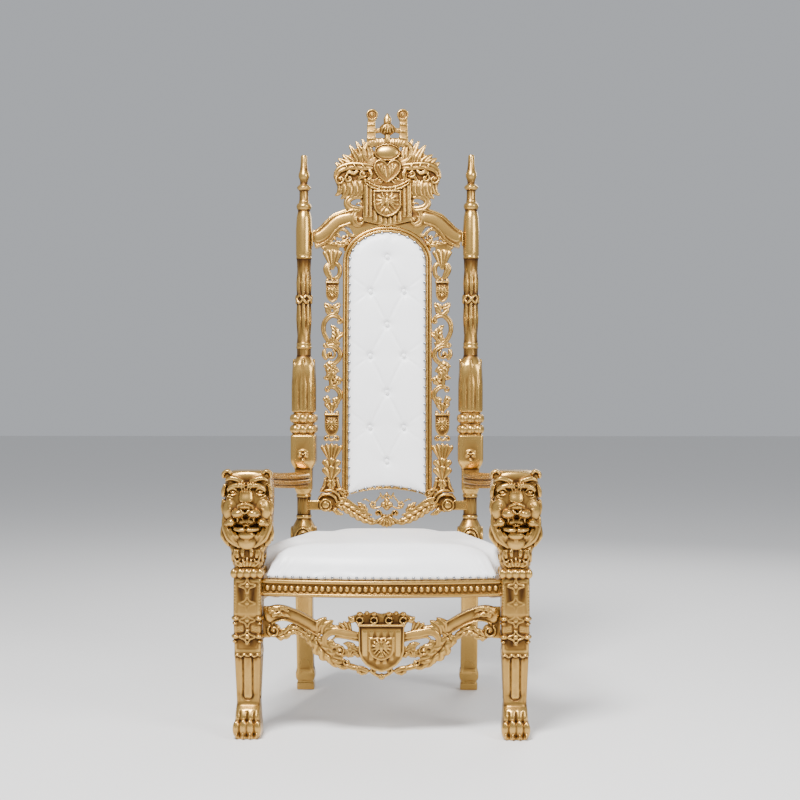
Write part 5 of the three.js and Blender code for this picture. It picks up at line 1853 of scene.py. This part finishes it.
@dataclass(frozen=True)
class BackPad:
    """The buttoned back pad, its covered buttons and the cover behind it."""

    outline: ArchOutline = ArchOutline()
    edge: float = 20.0
    front: float = -10.0
    voxel: float = 4.5
    crease_depth: float = 2.8
    crease_width: float = 5.5
    crease_end: float = 119
    button_depth: float = 8.5
    button_width: float = 12
    rows: tuple[tuple[float, float], ...] = (
        (0, 864), (52, 756), (0, 653), (52, 555), (0, 442), (52, 333), (0, 229)
    )

    def buttons(self) -> list[tuple[float, float]]:
        """Returns where the buttons sit on the pad."""
        return [spot for x, z in self.rows for spot in ([(-x, z), (x, z)] if x else [(x, z)])]

    def creases(self) -> list[tuple[float, float, float, float]]:
        """Returns the lines that run from button to button, as two ends each."""
        lines = []
        for (x0, z0), (x1, z1) in zip(self.rows[:-1], self.rows[1:]):
            lines += [(side * x0, z0, side * x1, z1) for side in (-1, 1)]
        for x, z in self.rows:
            if x:
                ends = [(side, z + drop) for side in (-1, 1) for drop in (-52, 52)]
                lines += [(side * x, z, side * self.crease_end, low) for side, low in ends]
        return lines

    def tuft(self, mesh: bpy.types.Mesh) -> None:
        """Presses the buttons and the creases into the front of the pad."""
        place = np.array(Matrix.Scale(MM, 4) @ BACK)
        inverse = np.linalg.inv(place)
        local = points_of(mesh) @ inverse[:3, :3].T + inverse[:3, 3]
        x, y, z = local.T
        press = np.zeros(len(x))
        for x0, z0, x1, z1 in self.creases():
            dx, dz = x1 - x0, z1 - z0
            share = np.clip(((x - x0) * dx + (z - z0) * dz) / (dx * dx + dz * dz), 0.0, 1.0)
            off = np.hypot(x - x0 - dx * share, z - z0 - dz * share)
            fades = abs(x1) == self.crease_end
            depth = self.crease_depth * (1 - 0.8 * share) if fades else self.crease_depth
            press = np.maximum(press, depth * np.exp(-((off / self.crease_width) ** 2)))
        for across, up in self.buttons():
            off = np.hypot(x - across, z - up)
            dimple = self.button_depth * np.exp(-((off / self.button_width) ** 2))
            press = np.maximum(press, dimple + 2.0 * np.exp(-((off / 30) ** 2)))
        local[:, 1] += press * np.clip((6 - y) / 8, 0.0, 1.0)
        mesh.vertices.foreach_set("co", (local @ place[:3, :3].T + place[:3, 3]).ravel())
        mesh.update()

    def build(self) -> bpy.types.Object:
        """Returns the finished pad."""
        piece = remeshed("buttoned_pad", merged_copy("back_pad"), self.voxel)
        to_pad = np.array((Matrix.Scale(MM, 4) @ BACK).inverted())
        spots_of = np.array(self.buttons())

        def held(spots: np.ndarray) -> np.ndarray:
            local = spots @ to_pad[:3, :3].T + to_pad[:3, 3]
            near = np.min(np.hypot(local[:, None, 0] - spots_of[:, 0],
                                   local[:, None, 2] - spots_of[:, 1]), axis=1)
            return (local[:, 1] > 4) | (near < 8)

        inflate(piece, held, 4.0, 4.0)
        refined(piece, 2)
        self.tuft(piece.data)
        thinned(piece, 62000)
        return piece

    def covered_buttons(self) -> bpy.types.Object:
        """Returns the ten covered buttons as one piece."""
        mesh = bmesh.new()
        for x, z in self.buttons():
            verts = bmesh.ops.create_uvsphere(mesh, u_segments=20, v_segments=12, radius=6.8)["verts"]
            bmesh.ops.scale(mesh, vec=(1.0, 0.62, 1.0), verts=verts)
            bmesh.ops.translate(mesh, vec=(x, self.front + 3.4, z), verts=verts)
        bmesh.ops.transform(mesh, matrix=Matrix.Scale(MM, 4) @ BACK, verts=mesh.verts)
        data = bpy.data.meshes.new("covered_buttons")
        mesh.to_mesh(data)
        mesh.free()
        return shown("covered_buttons", data)

    def rear_cover(self) -> bpy.types.Object:
        """Returns the flat upholstered cover on the back."""
        piece = remeshed("rear_cover", merged_copy("back_cover"), 4.0)
        refined(piece, 4)
        thinned(piece, 24000)
        return piece


@dataclass(frozen=True)
class Nails:
    """Domed nail heads along the edges of the upholstery."""

    radius: float = 5.2
    spacing: float = 27.0
    seat_spacing: float = 21.5

    def head(self, mesh: bmesh.types.BMesh, place: Matrix, radius: float) -> None:
        """Adds one head whose dome looks along -y of its place."""
        verts = bmesh.ops.create_uvsphere(mesh, u_segments=12, v_segments=6, radius=radius)["verts"]
        bmesh.ops.scale(mesh, vec=(1.0, 0.55, 1.0), verts=verts)
        bmesh.ops.transform(mesh, matrix=Matrix.Scale(MM, 4) @ place, verts=verts)

    def finish(self, mesh: bmesh.types.BMesh, name: str) -> bpy.types.Object:
        """Returns the heads as one piece."""
        data = bpy.data.meshes.new(name)
        mesh.to_mesh(data)
        mesh.free()
        return shown(name, data)

    def round_pad(self) -> bpy.types.Object:
        """Returns the row of nails round the back pad."""
        mesh = bmesh.new()
        ring = ArchOutline().points(23.2, 60, 120, 120)
        loop = np.vstack([ring, ring[:1]])
        marks = np.concatenate([[0.0], np.cumsum(np.linalg.norm(np.diff(loop, axis=0), axis=1))])
        count = round(marks[-1] / self.spacing)
        for mark in np.arange(count) * marks[-1] / count:
            x, z = np.interp(mark, marks, loop[:, 0]), np.interp(mark, marks, loop[:, 1])
            self.head(mesh, BACK @ Matrix.Translation((x, -4.6, z)), self.radius)
        return self.finish(mesh, "pad_nails")

    def round_seat(self, rail: FrontRail) -> bpy.types.Object:
        """Returns the rows of nails along the front and the sides of the seat.

        Args:
            rail: The front rail that the front row follows.

        Returns:
            The nails as one piece.
        """
        mesh = bmesh.new()
        count = round(2 * 300 / self.seat_spacing)
        for i in range(count + 1):
            x = -300 + 600 * i / count
            y = float(rail.front(x)) - 13.2
            self.head(mesh, GROUND @ Matrix.Translation((x, y, SEAT_TOP + 7)), 4.2)
        for i in range(20):
            share = i / 19
            y = 128 + share * 396
            x = LEG_HALF + 11.5 - (y - 110) / 452 * 88
            for side in (-1, 1):
                place = Matrix.Translation((side * x, y, SEAT_TOP + 7))
                place = place @ Matrix.Rotation(side * math.pi / 2, 4, "Z")
                self.head(mesh, GROUND @ place, 3.6)
        return self.finish(mesh, "seat_nails")


# Studio


@dataclass(frozen=True)
class Studio:
    """Pale floor, soft light and the camera."""

    camera_place: tuple[float, float, float] = (0.1064, -3.5948, 0.897)
    camera_turn: float = 0.9
    lens: float = 61.34
    floor_colour: tuple[float, float, float] = (0.80, 0.79, 0.78)
    air_colour: tuple[float, float, float] = (0.82, 0.85, 0.90)

    def floor(self) -> None:
        """Lays the floor."""
        mesh = bmesh.new()
        bmesh.ops.create_grid(mesh, x_segments=1, y_segments=1, size=30.0)
        bmesh.ops.translate(mesh, vec=(0.0, 0.0, -0.001), verts=mesh.verts)
        data = bpy.data.meshes.new("studio_floor")
        mesh.to_mesh(data)
        mesh.free()
        piece = shown("studio_floor", data, False)
        shader = Shader("pale_floor")
        shader.surface.inputs["Base Color"].default_value = (*self.floor_colour, 1.0)
        shader.surface.inputs["Roughness"].default_value = 0.6
        piece.data.materials.append(shader.material)

    def lamp(self, name: str, place: tuple[float, float, float], size: float, power: float) -> None:
        """Hangs one soft lamp that looks at the middle of the throne.

        Args:
            name: Name of the lamp.
            place: Where it hangs, in metres.
            size: Its width, in metres.
            power: Its power, in watts.
        """
        light = bpy.data.lights.new(name, "AREA")
        light.shape = "SQUARE"
        light.size = size
        light.energy = power
        item = bpy.data.objects.new(name, light)
        item.location = place
        item.rotation_euler = (Vector((0.0, 0.0, 0.9)) - Vector(place)).to_track_quat("-Z", "Y").to_euler()
        bpy.context.scene.collection.objects.link(item)

    def lights(self) -> None:
        """Hangs the lamps and sets the air."""
        self.lamp("key_light", (-0.9, -2.5, 4.3), 1.3, 500.0)
        self.lamp("fill_light", (2.8, -2.4, 2.6), 1.6, 105.0)
        self.lamp("rear_light", (1.5, 3.2, 2.8), 2.0, 60.0)
        world = bpy.data.worlds.new("studio_air")
        world.use_nodes = True
        world.node_tree.nodes["Background"].inputs["Color"].default_value = (*self.air_colour, 1.0)
        world.node_tree.nodes["Background"].inputs["Strength"].default_value = 0.56
        bpy.context.scene.world = world

    def camera(self) -> None:
        """Places the camera."""
        data = bpy.data.cameras.new("camera")
        data.sensor_width = 36.0
        data.lens = self.lens
        item = bpy.data.objects.new("camera", data)
        x, y, z = self.camera_place
        item.location = (x, y + PAW_Y * MM, z)
        item.rotation_euler = (math.pi / 2, 0.0, math.radians(self.camera_turn))
        bpy.context.scene.collection.objects.link(item)
        bpy.context.scene.camera = item


def dress_boards(workshop: Workshop) -> None:
    """Paints the plain rails that show as they are in the part."""
    for node in ("side_rail_right", "side_rail_left", "rear_rail"):
        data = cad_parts[node].data
        data.materials.clear()
        data.materials.append(workshop.finishes[Slot.GOLD])


def main() -> None:
    """Builds every piece of the throne and the studio around it."""
    logging.basicConfig(level=logging.INFO, format="%(message)s")
    workshop = Workshop()
    studio = Studio()
    studio.camera()
    studio.lights()
    studio.floor()
    workshop.fit_pair(FrontLeg().build(), Slot.GOLD, "front_leg")
    workshop.fit_pair(BackPost().build(), Slot.GOLD, "back_post")
    workshop.fit_pair(Arm().build(), Slot.GOLD, "arm")
    workshop.fit_pair(PiercedStrip().build(), Slot.GOLD, "pierced_strip")
    workshop.fit_pair(SideApron().build(), Slot.GOLD, "side_apron")
    workshop.fit(CrestRail().build(), Slot.GOLD, "crest_rail")
    workshop.fit(LowerRail().build(), Slot.GOLD, "lower_rail")
    workshop.fit(FrontApron().build(), Slot.GOLD, "front_apron")
    workshop.fit(BackFrame().build(), Slot.GOLD, "back_frame")
    rail = FrontRail()
    workshop.fit(rail.build(), Slot.GOLD, "front_rail")
    dress_boards(workshop)
    pad = BackPad()
    workshop.fit(SeatCushion().build(), Slot.LEATHER, "seat_cushion")
    workshop.fit(pad.build(), Slot.LEATHER, "back_pad")
    workshop.fit(pad.covered_buttons(), Slot.LEATHER, *(f"button_{i}" for i in range(1, 11)))
    workshop.fit(pad.rear_cover(), Slot.LEATHER, "back_cover")
    nails = Nails()
    workshop.fit(nails.round_pad(), Slot.NAILS)
    workshop.fit(nails.round_seat(rail), Slot.NAILS)


if __name__ == "__main__":
    main()
